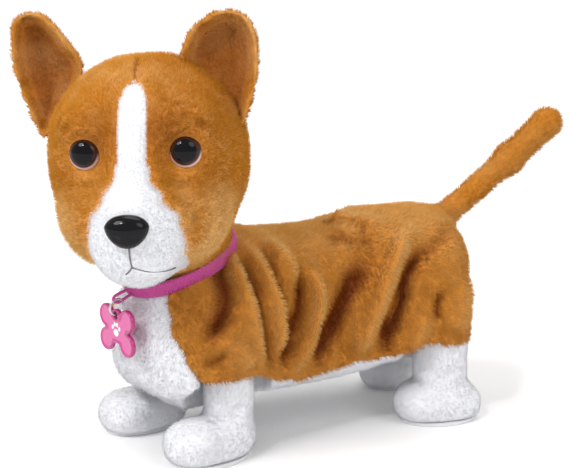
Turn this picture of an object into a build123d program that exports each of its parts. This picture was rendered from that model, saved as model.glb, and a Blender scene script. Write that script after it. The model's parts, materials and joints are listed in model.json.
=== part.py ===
from math import cos, radians, sin, tan
import os

from build123d import *

# A walking plush puppy, standing on four stiff legs and looking over its left shoulder.
# Row frame: +Z up, the puppy walks towards -Y, its left side is +X. Millimetres.
os.makedirs("parts", exist_ok=True)

# Driving dimensions
WAIST_X, WAIST_Y = -13.8, 0.5  # waist pivot, measured from the middle of the footprint
WAIST_BEND = 24.0  # the rear half stands turned to the puppy's left by this much
LEG_X = 32.2  # legs each side of the middle
HIP_Z = 72.0  # height of the hip axles
FRONT_HIP_Y, REAR_HIP_Y = -65.0, 79.0
FOOT_WIDTH, FOOT_LENGTH, FOOT_HEIGHT = 32.0, 46.0, 18.0
COAT_HALF = 48.0  # half the width of the coat
COAT_HEM = 42.0  # height of the coat's lower edge
COAT_SKIN = 2.2  # thickness of the plush cloth
CASE_HALF = 17.5  # half the width of both casings
CASE_TOP = 84.0
SLEEVE_TOP = 50.0  # the legs' plush sleeves reach up inside the coat to here
WALL = 2.0
FIT = 0.05  # radial clearance of a pin or shaft that turns
GAP = 0.3  # clearance between soft pieces and what moves past them
AXLE_R, AXLE_HALF = 2.0, 28.5  # radius of the pins and axles, half the length of a hip axle
SCREW_R = 1.2

# Sub-assembly frames
NECK_TILT = 22.1  # the neck leans forward by this much
NECK_SEAT = Vector(0, -70.6, 99.7)  # middle of the collar, seen from the waist pivot
HEAD_HEIGHT = 50.0  # from the collar's middle to the middle of the head, along the neck
HEAD_YAW, HEAD_ROLL = 47.0, 3.0
FRONT = Plane(origin=(WAIST_X, WAIST_Y, 0))
REAR = FRONT.rotated((0, 0, -WAIST_BEND))
NECK_DIRECTION = Vector(0, -sin(radians(NECK_TILT)), cos(radians(NECK_TILT)))
COLLAR_PLANE = Plane(origin=NECK_SEAT, x_dir=(1, 0, 0), z_dir=NECK_DIRECTION)
HEAD_MIDDLE = NECK_SEAT + NECK_DIRECTION * HEAD_HEIGHT + FRONT.origin
HEAD = Plane(origin=HEAD_MIDDLE).rotated((0, 0, HEAD_YAW)).rotated((0, -HEAD_ROLL, 0))
HEAD_AXIS = HEAD.to_local_coords(HEAD_MIDDLE + NECK_DIRECTION)
NECK_BOTTOM = Plane(origin=HEAD_AXIS * -HEAD_HEIGHT, z_dir=HEAD_AXIS)


def save(piece, name, frame):
    """Move a finished piece from its sub-assembly's frame to the row frame and write its STEP."""
    placed = piece.moved(frame.location)
    placed.label = name
    export_step(placed, f"parts/{name}.step")


def arch(half_width, low, middle, top):
    """Make_face outline of a body section: straight sides with a round back on top."""
    Polyline((-half_width, middle), (-half_width, low), (half_width, low), (half_width, middle))
    EllipticalCenterArc((0, middle), half_width, top - middle, start_angle=0, arc_size=180)


# Front casing: a box between the front legs, split on the middle plane
FRONT_NOSE, FRONT_TAIL, FRONT_FLOOR = -92.0, -14.0, 44.0
GEAR_MODULE = 0.7
GEAR_TEETH, PINION_TEETH = 36, 9
CRANK_Y, CRANK_Z = -46.0, 62.0
GEAR_R = GEAR_MODULE * GEAR_TEETH / 2
PINION_R = GEAR_MODULE * PINION_TEETH / 2
MOTOR_Y = CRANK_Y + GEAR_R + PINION_R + 0.15
GEAR_X = -13.0  # middle of the gears' width
GEAR_WIDTH = 3.0
BUTTON_Y, BUTTON_STEM_R, BUTTON_TOP = -30.0, 3.0, 104.0
BUTTON_TOWER, BUTTON_CAP, BUTTON_CAP_R, BUTTON_FOOT = 12.0, 5.0, 8.0, 76.0
SPEAKER_R, SPEAKER_Z = 13.0, 64.0
SPEAKER_RIM, MAGNET_R, MAGNET_DEPTH = 3.0, 8.0, 4.0
GRILLE_HOLE_R, GRILLE_R, GRILLE_HOLES = 1.5, 7.0, 6
SPINDLE_Y = NECK_SEAT.Y + (NECK_SEAT.Z - CASE_TOP) * tan(radians(NECK_TILT))
SPINDLE_R, SPINDLE_LENGTH = 6.0, 44.0
FLANGE_R, FLANGE_THICK = 11.0, 3.0
WAIST_PIN_R = 3.0
TAB_R, TAB_LOW, TAB_HIGH, TAB_THICK = 9.0, 50.0, 76.0, 4.0
CASE_SCREWS = [(-82, 50), (-82, 80.5), (-20, 50), (-20, 80.5)]


def case_halves(case, name, frame):
    """Split a casing on its middle plane and write its left and right shells."""
    with BuildPart() as left:
        add(case)
        split(bisect_by=Plane.YZ, keep=Keep.TOP)
    save(left.part, f"{name}_left", frame)
    with BuildPart() as right:
        add(case)
        split(bisect_by=Plane.YZ, keep=Keep.BOTTOM)
    save(right.part, f"{name}_right", frame)


def cross_cylinders(places, radius, start, length):
    """Cylinders along X at the given (y, z) places, from x = start."""
    with BuildPart() as cylinders:
        with BuildSketch(Plane.YZ.offset(start)):
            with Locations(*places):
                Circle(radius)
        extrude(amount=length)
    return cylinders.part


def case_screws(places, name, frame):
    """Countersunk screws through both shells, from the left side."""
    with BuildPart() as screws:
        add(cross_cylinders(places, SCREW_R, WALL - CASE_HALF, 2 * CASE_HALF - WALL))
        add(cross_cylinders(places, 2 * SCREW_R, CASE_HALF - 1, 1))
    save(screws.part, name, frame)


front_posts = cross_cylinders(CASE_SCREWS, 2.5 * SCREW_R, -CASE_HALF, 2 * CASE_HALF)
front_screws = cross_cylinders(CASE_SCREWS, SCREW_R, WALL - CASE_HALF, 2 * CASE_HALF)
front_heads = cross_cylinders(CASE_SCREWS, 2 * SCREW_R, CASE_HALF - 1, 2)
front_hip_bore = cross_cylinders([(FRONT_HIP_Y, HIP_Z)], AXLE_R, -2 * CASE_HALF, 4 * CASE_HALF)
crank_bore = cross_cylinders([(CRANK_Y, CRANK_Z)], AXLE_R + FIT, -2 * CASE_HALF, 4 * CASE_HALF)
with BuildPart() as front_case:
    with BuildSketch(Plane.XY.offset(FRONT_FLOOR)):
        with Locations((0, (FRONT_NOSE + FRONT_TAIL) / 2)):
            Rectangle(2 * CASE_HALF, FRONT_TAIL - FRONT_NOSE)
    extrude(amount=CASE_TOP - FRONT_FLOOR)
    fillet(front_case.edges().filter_by(Axis.X), radius=3)
    with BuildSketch(Plane.XY.offset(FRONT_FLOOR + WALL)):
        with Locations((0, (FRONT_NOSE + FRONT_TAIL) / 2)):
            Rectangle(2 * CASE_HALF - 2 * WALL, FRONT_TAIL - FRONT_NOSE - 2 * WALL)
    extrude(amount=CASE_TOP - FRONT_FLOOR - 2 * WALL, mode=Mode.SUBTRACT)
    for low in (TAB_LOW, TAB_HIGH - TAB_THICK):
        with BuildSketch(Plane.XY.offset(low)):
            with Locations((0, FRONT_TAIL / 2)):
                Rectangle(2 * TAB_R, -FRONT_TAIL)
            Circle(TAB_R)
        extrude(amount=TAB_THICK)
    with BuildSketch(Plane.XY.offset(TAB_LOW)):
        Circle(WAIST_PIN_R)
    extrude(amount=TAB_HIGH - TAB_LOW, mode=Mode.SUBTRACT)
    add(front_posts)
    for bore in (front_screws, front_heads, front_hip_bore, crank_bore):
        add(bore, mode=Mode.SUBTRACT)
    with BuildSketch(Plane.XY.offset(CASE_TOP)):
        with Locations((0, BUTTON_Y)):
            Circle(2 * BUTTON_STEM_R)
    extrude(amount=BUTTON_TOWER)
    with BuildSketch(Plane.XY.offset(CASE_TOP - WALL - 1)):
        with Locations((0, BUTTON_Y)):
            Circle(BUTTON_STEM_R + FIT)
    extrude(amount=BUTTON_TOWER + WALL + 2, mode=Mode.SUBTRACT)
    with BuildSketch(Plane.XZ.offset(-FRONT_NOSE + 1)):
        with Locations((0, SPEAKER_Z)):
            with PolarLocations(GRILLE_R, GRILLE_HOLES):
                Circle(GRILLE_HOLE_R)
            Circle(GRILLE_HOLE_R)
    extrude(amount=-WALL - 2, mode=Mode.SUBTRACT)
case_halves(front_case.part, "front_shell", FRONT)
case_screws(CASE_SCREWS, "front_shell_screws", FRONT)

# Drive: motor, pinion, drive gear, crank shaft and its two discs
MOTOR_LENGTH, MOTOR_R, MOTOR_FLAT = 24.0, 10.0, 7.7
MOTOR_START = -9.0  # its shaft end, left of which the can runs
MOTOR_BOSS_R, MOTOR_BOSS, MOTOR_SHAFT_R, MOTOR_SHAFT = 3.0, 1.5, 1.0, 4.5
with BuildPart() as motor:
    with BuildSketch(Plane.YZ.offset(MOTOR_START)):
        with Locations((MOTOR_Y, CRANK_Z)):
            Circle(MOTOR_R)
            Rectangle(2 * MOTOR_R, 2 * MOTOR_FLAT, mode=Mode.INTERSECT)
    extrude(amount=MOTOR_LENGTH)
    with BuildSketch(Plane.YZ.offset(MOTOR_START)):
        with Locations((MOTOR_Y, CRANK_Z)):
            Circle(MOTOR_BOSS_R)
    extrude(amount=-MOTOR_BOSS)
    with BuildSketch(Plane.YZ.offset(MOTOR_START - MOTOR_BOSS)):
        with Locations((MOTOR_Y, CRANK_Z)):
            Circle(MOTOR_SHAFT_R)
    extrude(amount=-MOTOR_SHAFT)
save(motor.part, "motor", FRONT)


def spur_gear(teeth, pitch_radius, bore, y, width):
    """A spur gear with straight-sided teeth about an axis along X."""
    root = pitch_radius - 1.2 * GEAR_MODULE
    tip = pitch_radius + GEAR_MODULE
    half_root, half_tip = 0.85 * GEAR_MODULE, 0.4 * GEAR_MODULE
    with BuildPart() as gear:
        with BuildSketch(Plane(origin=(GEAR_X - width / 2, y, CRANK_Z), x_dir=(0, 1, 0), z_dir=(1, 0, 0))):
            Circle(root)
            with PolarLocations(0, teeth):
                Polygon(
                    (root - 0.3, -half_root),
                    (tip, -half_tip),
                    (tip, half_tip),
                    (root - 0.3, half_root),
                    align=None,
                )
            Circle(bore, mode=Mode.SUBTRACT)
        extrude(amount=width)
    return gear.part


save(spur_gear(GEAR_TEETH, GEAR_R, AXLE_R, CRANK_Y, GEAR_WIDTH), "drive_gear", FRONT)
pinion = spur_gear(PINION_TEETH, PINION_R, MOTOR_SHAFT_R + FIT, MOTOR_Y, GEAR_WIDTH + 0.4)
save(pinion, "motor_pinion", FRONT)

DISC_X, DISC_R, DISC_THICK = CASE_HALF + 0.2, 8.0, 1.2
CRANK_THROW, CRANK_PIN_R, CRANK_PIN = 6.0, 1.3, 0.3
with BuildPart() as crank_shaft:
    with BuildSketch(Plane.YZ.offset(-DISC_X)):
        with Locations((CRANK_Y, CRANK_Z)):
            Circle(AXLE_R)
    extrude(amount=2 * DISC_X)
save(crank_shaft.part, "crank_shaft", FRONT)

for side, name in ((1, "crank_disc_left"), (-1, "crank_disc_right")):
    with BuildPart() as disc:
        with BuildSketch(Plane.YZ.offset(side * DISC_X)):
            with Locations((CRANK_Y, CRANK_Z)):
                Circle(DISC_R)
        extrude(amount=side * DISC_THICK)
        with BuildSketch(Plane.YZ.offset(side * (DISC_X + DISC_THICK))):
            with Locations((CRANK_Y, CRANK_Z + side * CRANK_THROW)):
                Circle(CRANK_PIN_R)
        extrude(amount=side * CRANK_PIN)
    save(disc.part, name, FRONT)

# Electronics, button, neck spindle, axles and pins of the front half
BOARD_Z, BOARD_Y, BOARD_WIDTH, BOARD_LENGTH, BOARD_THICK = 78.0, -64.0, 28.0, 26.0, 1.6
with BuildPart() as circuit_board:
    with BuildSketch(Plane.XY.offset(BOARD_Z)):
        with Locations((0, BOARD_Y)):
            Rectangle(BOARD_WIDTH, BOARD_LENGTH)
    extrude(amount=BOARD_THICK)
    with BuildSketch(Plane.XY.offset(BOARD_Z + BOARD_THICK)):
        with Locations((0, BOARD_Y - 2)):
            Rectangle(7, 7)
        with Locations((8, BOARD_Y + 6), (-8, BOARD_Y + 6)):
            Rectangle(3, 2)
    extrude(amount=1.4)
save(circuit_board.part, "circuit_board", FRONT)

with BuildPart() as speaker:
    with BuildSketch(Plane.XZ.offset(-FRONT_NOSE - WALL)):
        with Locations((0, SPEAKER_Z)):
            Circle(SPEAKER_R)
    extrude(amount=-SPEAKER_RIM)
    with BuildSketch(Plane.XZ.offset(-FRONT_NOSE - WALL - SPEAKER_RIM)):
        with Locations((0, SPEAKER_Z)):
            Circle(MAGNET_R)
    extrude(amount=-MAGNET_DEPTH)
save(speaker.part, "speaker", FRONT)

with BuildPart() as back_button:
    with BuildSketch(Plane.XY.offset(BUTTON_FOOT)):
        with Locations((0, BUTTON_Y)):
            Circle(BUTTON_STEM_R)
    extrude(amount=BUTTON_TOP - BUTTON_CAP - BUTTON_FOOT)
    with BuildSketch(Plane.XY.offset(BUTTON_TOP - BUTTON_CAP)):
        with Locations((0, BUTTON_Y)):
            Circle(BUTTON_CAP_R)
    extrude(amount=BUTTON_CAP)
    fillet(back_button.faces().sort_by(Axis.Z)[-1].edges(), radius=2)
save(back_button.part, "back_button", FRONT)

with BuildPart() as neck_spindle:
    with BuildSketch(Plane.XY.offset(CASE_TOP)):
        with Locations((0, SPINDLE_Y)):
            Circle(FLANGE_R)
    extrude(amount=FLANGE_THICK)
    with BuildSketch(Plane(origin=(0, SPINDLE_Y, CASE_TOP), x_dir=(1, 0, 0), z_dir=NECK_DIRECTION)):
        Circle(SPINDLE_R)
    extrude(amount=SPINDLE_LENGTH)
    split(bisect_by=Plane.XY.offset(CASE_TOP), keep=Keep.TOP)
save(neck_spindle.part, "neck_spindle", FRONT)

# Steel hip axles, through a casing and the two hip arms outside it
save(cross_cylinders([(FRONT_HIP_Y, HIP_Z)], AXLE_R, -AXLE_HALF, 2 * AXLE_HALF), "front_hip_axle", FRONT)
save(cross_cylinders([(REAR_HIP_Y, HIP_Z)], AXLE_R, -AXLE_HALF, 2 * AXLE_HALF), "rear_hip_axle", REAR)

with BuildPart() as waist_pin:
    with BuildSketch(Plane.XY.offset(TAB_LOW)):
        Circle(WAIST_PIN_R)
    extrude(amount=TAB_HIGH - TAB_LOW)
    with BuildSketch(Plane.XY.offset(TAB_HIGH)):
        Circle(WAIST_PIN_R + 2)
    extrude(amount=2)
save(waist_pin.part, "waist_pin", FRONT)

# Rear casing: battery bay below, waist tab in front, tail post on top
REAR_NOSE, REAR_TAIL, REAR_FLOOR = 14.0, 93.0, 33.0
CELL_R, CELL_LENGTH, CELL_PITCH, CELL_Z = 5.25, 44.5, 10.7, 39.0
BAY_FRONT, BAY_BACK, BAY_HALF = 41.0, 89.5, 16.2
TAIL_PIVOT_Y, TAIL_PIVOT_Z = 82.0, 101.0
TAIL_POST_R, TAIL_POST = 6.0, 11.5
BAY_DEPTH, REAR_DECK = 12.0, 47.0  # the battery bay, and the floor above it
SWITCH_Y, SWITCH_WIDTH, SWITCH_LENGTH = 27.0, 10.0, 18.0
REAR_SCREWS = [(22, 52), (22, 80.5), (89, 52), (89, 80.5)]
rear_posts = cross_cylinders(REAR_SCREWS, 2.5 * SCREW_R, -CASE_HALF, 2 * CASE_HALF)
rear_screws = cross_cylinders(REAR_SCREWS, SCREW_R, WALL - CASE_HALF, 2 * CASE_HALF)
rear_heads = cross_cylinders(REAR_SCREWS, 2 * SCREW_R, CASE_HALF - 1, 2)
rear_hip_bore = cross_cylinders([(REAR_HIP_Y, HIP_Z)], AXLE_R, -2 * CASE_HALF, 4 * CASE_HALF)
with BuildPart() as rear_case:
    with BuildSketch(Plane.XY.offset(REAR_FLOOR)):
        with Locations((0, (REAR_NOSE + REAR_TAIL) / 2)):
            Rectangle(2 * CASE_HALF, REAR_TAIL - REAR_NOSE)
    extrude(amount=CASE_TOP - REAR_FLOOR)
    fillet(rear_case.edges().filter_by(Axis.X), radius=3)
    with BuildSketch(Plane.XY.offset(REAR_DECK)):
        with Locations((0, (REAR_NOSE + REAR_TAIL) / 2)):
            Rectangle(2 * CASE_HALF - 2 * WALL, REAR_TAIL - REAR_NOSE - 2 * WALL)
    extrude(amount=CASE_TOP - WALL - REAR_DECK, mode=Mode.SUBTRACT)
    with BuildSketch(Plane.XY.offset(REAR_FLOOR)):
        with Locations((0, (BAY_FRONT + BAY_BACK) / 2)):
            Rectangle(2 * BAY_HALF, BAY_BACK - BAY_FRONT)
    extrude(amount=BAY_DEPTH, mode=Mode.SUBTRACT)
    with BuildSketch(Plane.XY.offset(TAB_LOW + TAB_THICK + 0.2)):
        with Locations((0, REAR_NOSE / 2)):
            Rectangle(2 * TAB_R - 4, REAR_NOSE)
        Circle(TAB_R - 2)
    extrude(amount=TAB_HIGH - TAB_LOW - 2 * TAB_THICK - 0.4)
    with BuildSketch(Plane.XY.offset(TAB_LOW)):
        Circle(WAIST_PIN_R + FIT)
    extrude(amount=TAB_HIGH - TAB_LOW, mode=Mode.SUBTRACT)
    with BuildSketch(Plane.XY.offset(REAR_FLOOR)):
        with Locations((0, SWITCH_Y)):
            Rectangle(5, 9)
    extrude(amount=3, mode=Mode.SUBTRACT)
    with BuildSketch(Plane.XY.offset(REAR_FLOOR + 2)):
        with Locations((0, SWITCH_Y)):
            Rectangle(SWITCH_WIDTH + 2, SWITCH_LENGTH + 2)
    extrude(amount=BAY_DEPTH, mode=Mode.SUBTRACT)
    with BuildSketch(Plane.XY.offset(CASE_TOP)):
        with Locations((0, TAIL_PIVOT_Y)):
            Circle(TAIL_POST_R)
    extrude(amount=TAIL_POST)
    with BuildSketch(Plane.XY.offset(CASE_TOP - WALL)):
        with Locations((0, TAIL_PIVOT_Y)):
            Circle(AXLE_R)
    extrude(amount=16, mode=Mode.SUBTRACT)
    add(rear_posts)
    for bore in (rear_screws, rear_heads, rear_hip_bore):
        add(bore, mode=Mode.SUBTRACT)
case_halves(rear_case.part, "rear_shell", REAR)
case_screws(REAR_SCREWS, "rear_shell_screws", REAR)

with BuildPart() as battery_cells:
    for column in (-1, 0, 1):
        with BuildSketch(Plane.XZ.offset(-BAY_FRONT - 2)):
            with Locations((column * CELL_PITCH, CELL_Z)):
                Circle(CELL_R)
        extrude(amount=-CELL_LENGTH + 1)
        with BuildSketch(Plane.XZ.offset(-BAY_FRONT - 1 - CELL_LENGTH)):
            with Locations((column * CELL_PITCH, CELL_Z)):
                Circle(1.9)
        extrude(amount=-1)
save(battery_cells.part, "battery_cells", REAR)

with BuildPart() as battery_contacts:
    for y, thick in ((BAY_FRONT, 2.0), (BAY_BACK, -2.0)):
        for column in (-1, 0, 1):
            with BuildSketch(Plane.XZ.offset(-y)):
                with Locations((column * CELL_PITCH, CELL_Z)):
                    RectangleRounded(8.5, 8, 1)
            extrude(amount=-thick)
save(battery_contacts.part, "battery_contacts", REAR)

DOOR_THICK, DOOR_SCREW_Y, SCREW_HEAD = 1.8, BAY_FRONT - 3, 0.8
with BuildPart() as battery_door:
    with BuildSketch(Plane.XY.offset(REAR_FLOOR - DOOR_THICK)):
        with Locations((0, (BAY_FRONT + BAY_BACK) / 2 - 3)):
            RectangleRounded(2 * CASE_HALF - 2, BAY_BACK - BAY_FRONT + 8, 2)
    extrude(amount=DOOR_THICK)
    with BuildSketch(Plane.XY.offset(REAR_FLOOR - DOOR_THICK)):
        for rib in range(5):
            with Locations((0, 78 + 2.2 * rib)):
                Rectangle(14, 1)
    extrude(amount=0.6, mode=Mode.SUBTRACT)
    with BuildSketch(Plane.XY.offset(REAR_FLOOR - DOOR_THICK)):
        with Locations((0, DOOR_SCREW_Y)):
            Circle(SCREW_R)
    extrude(amount=DOOR_THICK, mode=Mode.SUBTRACT)
    with BuildSketch(Plane.XY.offset(REAR_FLOOR - DOOR_THICK)):
        with Locations((0, DOOR_SCREW_Y)):
            Circle(2 * SCREW_R)
    extrude(amount=SCREW_HEAD, mode=Mode.SUBTRACT)
save(battery_door.part, "battery_door", REAR)

with BuildPart() as battery_door_screw:
    with BuildSketch(Plane.XY.offset(REAR_FLOOR - DOOR_THICK)):
        with Locations((0, DOOR_SCREW_Y)):
            Circle(2 * SCREW_R)
    extrude(amount=SCREW_HEAD)
    with BuildSketch(Plane.XY.offset(REAR_FLOOR - DOOR_THICK + SCREW_HEAD)):
        with Locations((0, DOOR_SCREW_Y)):
            Circle(SCREW_R)
    extrude(amount=DOOR_THICK - SCREW_HEAD)
    with BuildSketch(Plane.XY.offset(REAR_FLOOR - DOOR_THICK)):
        with Locations((0, DOOR_SCREW_Y)):
            Rectangle(3, 0.6)
            Rectangle(0.6, 3)
    extrude(amount=0.4, mode=Mode.SUBTRACT)
save(battery_door_screw.part, "battery_door_screw", REAR)

with BuildPart() as power_switch_housing:
    with BuildSketch(Plane.XY.offset(REAR_FLOOR + 4.2)):
        with Locations((0, SWITCH_Y)):
            Rectangle(SWITCH_WIDTH, SWITCH_LENGTH)
    extrude(amount=5.5)
save(power_switch_housing.part, "power_switch_housing", REAR)

KNOB_TRAVEL = 3.8
with BuildPart() as power_switch_knob:
    with BuildSketch(Plane.XY.offset(REAR_FLOOR - 1.5)):
        with Locations((0, SWITCH_Y - KNOB_TRAVEL / 2)):
            Rectangle(4, 4)
    extrude(amount=4)
    with BuildSketch(Plane.XY.offset(REAR_FLOOR + 2.5)):
        with Locations((0, SWITCH_Y - KNOB_TRAVEL / 2)):
            Rectangle(9, 9)
    extrude(amount=1.3)
save(power_switch_knob.part, "power_switch_knob", REAR)

with BuildPart() as tail_pivot_pin:
    with BuildSketch(Plane.XY.offset(CASE_TOP)):
        with Locations((0, TAIL_PIVOT_Y)):
            Circle(AXLE_R)
    extrude(amount=22)
save(tail_pivot_pin.part, "tail_pivot_pin", REAR)

# Tail: a stiff core on the pin, with a plush sleeve behind the coat
TAIL_RISE = 39.1
TAIL_LENGTH, TAIL_TIP_SOFT = 97.0, 14.0  # the last of it has no rod inside
TAIL_ROD_R, TAIL_HUB = 2.5, 5.0
TAIL_DIRECTION = Vector(0, cos(radians(TAIL_RISE)), sin(radians(TAIL_RISE)))
TAIL_START = 20.0
TAIL_PIVOT = Vector(0, TAIL_PIVOT_Y, TAIL_PIVOT_Z)
with BuildPart() as tail_core:
    with BuildSketch(Plane(origin=TAIL_PIVOT, x_dir=(1, 0, 0), z_dir=TAIL_DIRECTION)):
        Circle(TAIL_ROD_R)
    extrude(amount=TAIL_LENGTH - TAIL_TIP_SOFT)
    with BuildSketch(Plane.XY.offset(TAIL_PIVOT_Z - TAIL_HUB)):
        with Locations((0, TAIL_PIVOT_Y)):
            Circle(TAIL_HUB)
    extrude(amount=9)
    with BuildSketch(Plane.XY.offset(TAIL_PIVOT_Z - 6)):
        with Locations((0, TAIL_PIVOT_Y)):
            Circle(AXLE_R + FIT)
    extrude(amount=13, mode=Mode.SUBTRACT)
save(tail_core.part, "tail_core", REAR)

TAIL_ROOT_R, TAIL_END_R = 7.0, 8.6
TAIL_AXES = Plane(origin=TAIL_PIVOT, x_dir=(1, 0, 0), z_dir=(0, -TAIL_DIRECTION.Z, TAIL_DIRECTION.Y))
with BuildPart() as tail_plush:
    with BuildSketch(TAIL_AXES):
        with BuildLine():
            Polyline((0, TAIL_START), (TAIL_ROOT_R, TAIL_START), (TAIL_END_R, TAIL_LENGTH - TAIL_END_R))
            CenterArc((0, TAIL_LENGTH - TAIL_END_R), TAIL_END_R, 0, 90)
            Line((0, TAIL_LENGTH), (0, TAIL_START))
        make_face()
    revolve(axis=Axis(TAIL_PIVOT, TAIL_DIRECTION))
    with BuildSketch(Plane(origin=TAIL_PIVOT, x_dir=(1, 0, 0), z_dir=TAIL_DIRECTION)):
        Circle(TAIL_ROD_R)
    extrude(amount=TAIL_LENGTH - TAIL_TIP_SOFT, mode=Mode.SUBTRACT)
save(tail_plush.part, "tail_plush", REAR)

# Coat over the front half, open below, and the bib that closes the chest
COAT_FRONT_START, COAT_FRONT_TOP, COAT_MIDDLE = -88.0, 110.0, 70.0
WAIST_SLOPE = 15.5  # each coat's end slants away from the waist pivot by this much
COLLAR_DROP = 4.0
COLLAR_CUT = COLLAR_PLANE.offset(-COLLAR_DROP)


def waist_wedge(reach):
    """The wedge left free between the two coats, so that the waist can bend both ways."""
    edge = 2 + COAT_HALF * tan(radians(WAIST_SLOPE))
    with BuildPart() as wedge:
        with BuildSketch(Plane.XY.offset(COAT_HEM - 20)):
            with BuildLine():
                Polyline(
                    (-COAT_HALF - 1, reach * edge),
                    (0, reach * 2),
                    (COAT_HALF + 1, reach * edge),
                    (COAT_HALF + 1, -reach * COAT_HALF),
                    (-COAT_HALF - 1, -reach * COAT_HALF),
                    close=True,
                )
            make_face()
        extrude(amount=120)
    return wedge.part


front_wedge, rear_wedge = waist_wedge(-1), waist_wedge(1)
with BuildPart() as coat_front:
    with BuildSketch(Plane.XZ.offset(-COAT_FRONT_START)):
        with BuildLine():
            arch(COAT_HALF, COAT_HEM, COAT_MIDDLE, COAT_FRONT_TOP)
        make_face()
    extrude(amount=COAT_FRONT_START)
    with BuildSketch(Plane.XZ.offset(-COAT_FRONT_START)):
        with BuildLine():
            arch(COAT_HALF - COAT_SKIN, COAT_HEM, COAT_MIDDLE, COAT_FRONT_TOP - COAT_SKIN)
        make_face()
    extrude(amount=COAT_FRONT_START, mode=Mode.SUBTRACT)
    add(front_wedge, mode=Mode.SUBTRACT)
    split(bisect_by=COLLAR_CUT, keep=Keep.BOTTOM)
save(coat_front.part, "coat_front", FRONT)

BIB_LOW, CHEST_Y = 34.0, -106.0
CHEST_FLOOR, CHEST_FLOOR_WIDTH = 24.0, 28.0  # the cloth between the front legs
with BuildPart() as chest_bib:
    with BuildSketch(Plane.XY.offset(BIB_LOW)):
        with BuildLine():
            ThreePointArc((-COAT_HALF, COAT_FRONT_START), (0, CHEST_Y), (COAT_HALF, COAT_FRONT_START))
            Line((COAT_HALF, COAT_FRONT_START), (COAT_HALF - COAT_SKIN, COAT_FRONT_START))
            ThreePointArc(
                (COAT_HALF - COAT_SKIN, COAT_FRONT_START),
                (0, CHEST_Y + COAT_SKIN),
                (COAT_SKIN - COAT_HALF, COAT_FRONT_START),
            )
            Line((COAT_SKIN - COAT_HALF, COAT_FRONT_START), (-COAT_HALF, COAT_FRONT_START))
        make_face()
    extrude(amount=70)
    with BuildSketch(Plane.XZ.offset(-COAT_FRONT_START - 5)):
        with BuildLine():
            arch(COAT_HALF, 0, COAT_MIDDLE, COAT_FRONT_TOP)
        make_face()
    extrude(amount=40, mode=Mode.INTERSECT)
    with BuildSketch(Plane.XY.offset(CHEST_FLOOR)):
        with Locations((0, -75)):
            Rectangle(CHEST_FLOOR_WIDTH, 61)
    extrude(amount=COAT_SKIN)
    with BuildSketch(Plane.XY.offset(CHEST_FLOOR)):
        with Locations((0, CHEST_Y + 1.6)):
            Rectangle(CHEST_FLOOR_WIDTH, COAT_SKIN)
    extrude(amount=BIB_LOW - CHEST_FLOOR + 2)
    split(bisect_by=COLLAR_CUT, keep=Keep.BOTTOM)
save(chest_bib.part, "chest_bib", FRONT)

# Coat over the rear half, with a slot for the tail, and the belly cloth between the legs
COAT_REAR_END, COAT_REAR_TOP, RUMP_CORNER = 96.0, 116.0, 14.0
HAUNCH_NOTCH = 46.0  # from the rump forwards, the hem is raised to let the hind legs swing
HAUNCH_HEM = SLEEVE_TOP + 6
TAIL_SLOT = 36.0


def rump_form(inset):
    """The rear coat's outside, or with an inset its inside, before the waist wedge is cut."""
    half, back = COAT_HALF - inset, COAT_REAR_END - inset
    with BuildPart() as form:
        with BuildSketch(Plane.XZ.offset(-back)):
            with BuildLine():
                arch(half, COAT_HEM, COAT_MIDDLE, COAT_REAR_TOP - inset)
            make_face()
        extrude(amount=back)
        with BuildSketch(Plane.XY.offset(COAT_HEM)):
            RectangleRounded(2 * half, 2 * back, RUMP_CORNER - inset)
        extrude(amount=90, mode=Mode.INTERSECT)
    return form.part


rump_outside, rump_inside = rump_form(0), rump_form(COAT_SKIN)
with BuildPart() as coat_rear:
    add(rump_outside)
    add(rump_inside, mode=Mode.SUBTRACT)
    add(rear_wedge, mode=Mode.SUBTRACT)
    with BuildSketch(Plane.XY.offset(CASE_TOP + 12)):
        with Locations((0, COAT_REAR_END)):
            Rectangle(TAIL_SLOT, TAIL_SLOT)
    extrude(amount=30, mode=Mode.SUBTRACT)
    with BuildSketch(Plane.XY.offset(COAT_HEM)):
        with Locations((0, COAT_REAR_END)):
            Rectangle(2 * COAT_HALF, 2 * HAUNCH_NOTCH)
    extrude(amount=HAUNCH_HEM - COAT_HEM, mode=Mode.SUBTRACT)
save(coat_rear.part, "coat_rear", REAR)

BELLY_Z, BELLY_Y, BELLY_WIDTH, BELLY_LENGTH = 28.0, 20.0, 80.0, 30.0
with BuildPart() as belly_panel:
    with BuildSketch(Plane.XY.offset(BELLY_Z)):
        with Locations((0, BELLY_Y)):
            Rectangle(BELLY_WIDTH, BELLY_LENGTH)
    extrude(amount=COAT_SKIN)
    with BuildSketch(Plane.XY.offset(BELLY_Z)):
        with Locations((0, SWITCH_Y)):
            Rectangle(12, 16)
    extrude(amount=COAT_SKIN, mode=Mode.SUBTRACT)
    fillet(belly_panel.edges().filter_by(Axis.Z), radius=3)
save(belly_panel.part, "belly_panel", REAR)

# Collar: webbing ring with a lug for the tag
COLLAR_X, COLLAR_Y, BAND, BAND_THICK = 32.5, 37.5, 7.0, 1.5
LUG_Y, LUG_TOP, RING_R, RING_WIRE = -111.2, 88.0, 4.0, 0.7
RING_Z = 79.5
with BuildPart() as collar:
    with BuildSketch(COLLAR_PLANE.offset(-BAND / 2)):
        Ellipse(COLLAR_X, COLLAR_Y)
        Ellipse(COLLAR_X - BAND_THICK, COLLAR_Y - BAND_THICK, mode=Mode.SUBTRACT)
    extrude(amount=BAND)
    with BuildSketch(Plane.XZ.offset(-LUG_Y + 0.5)):
        with Locations((0, LUG_TOP - 4)):
            RectangleRounded(6, 8, 1)
        with Locations((0, RING_Z + RING_R)):
            Circle(1.8, mode=Mode.SUBTRACT)
    extrude(amount=-1)
    with BuildSketch(Plane.XY.offset(LUG_TOP - 1.8)):
        with Locations((0, -108.4)):
            Rectangle(4, 6)
    extrude(amount=1.8)
save(collar.part, "collar", FRONT)

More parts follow.
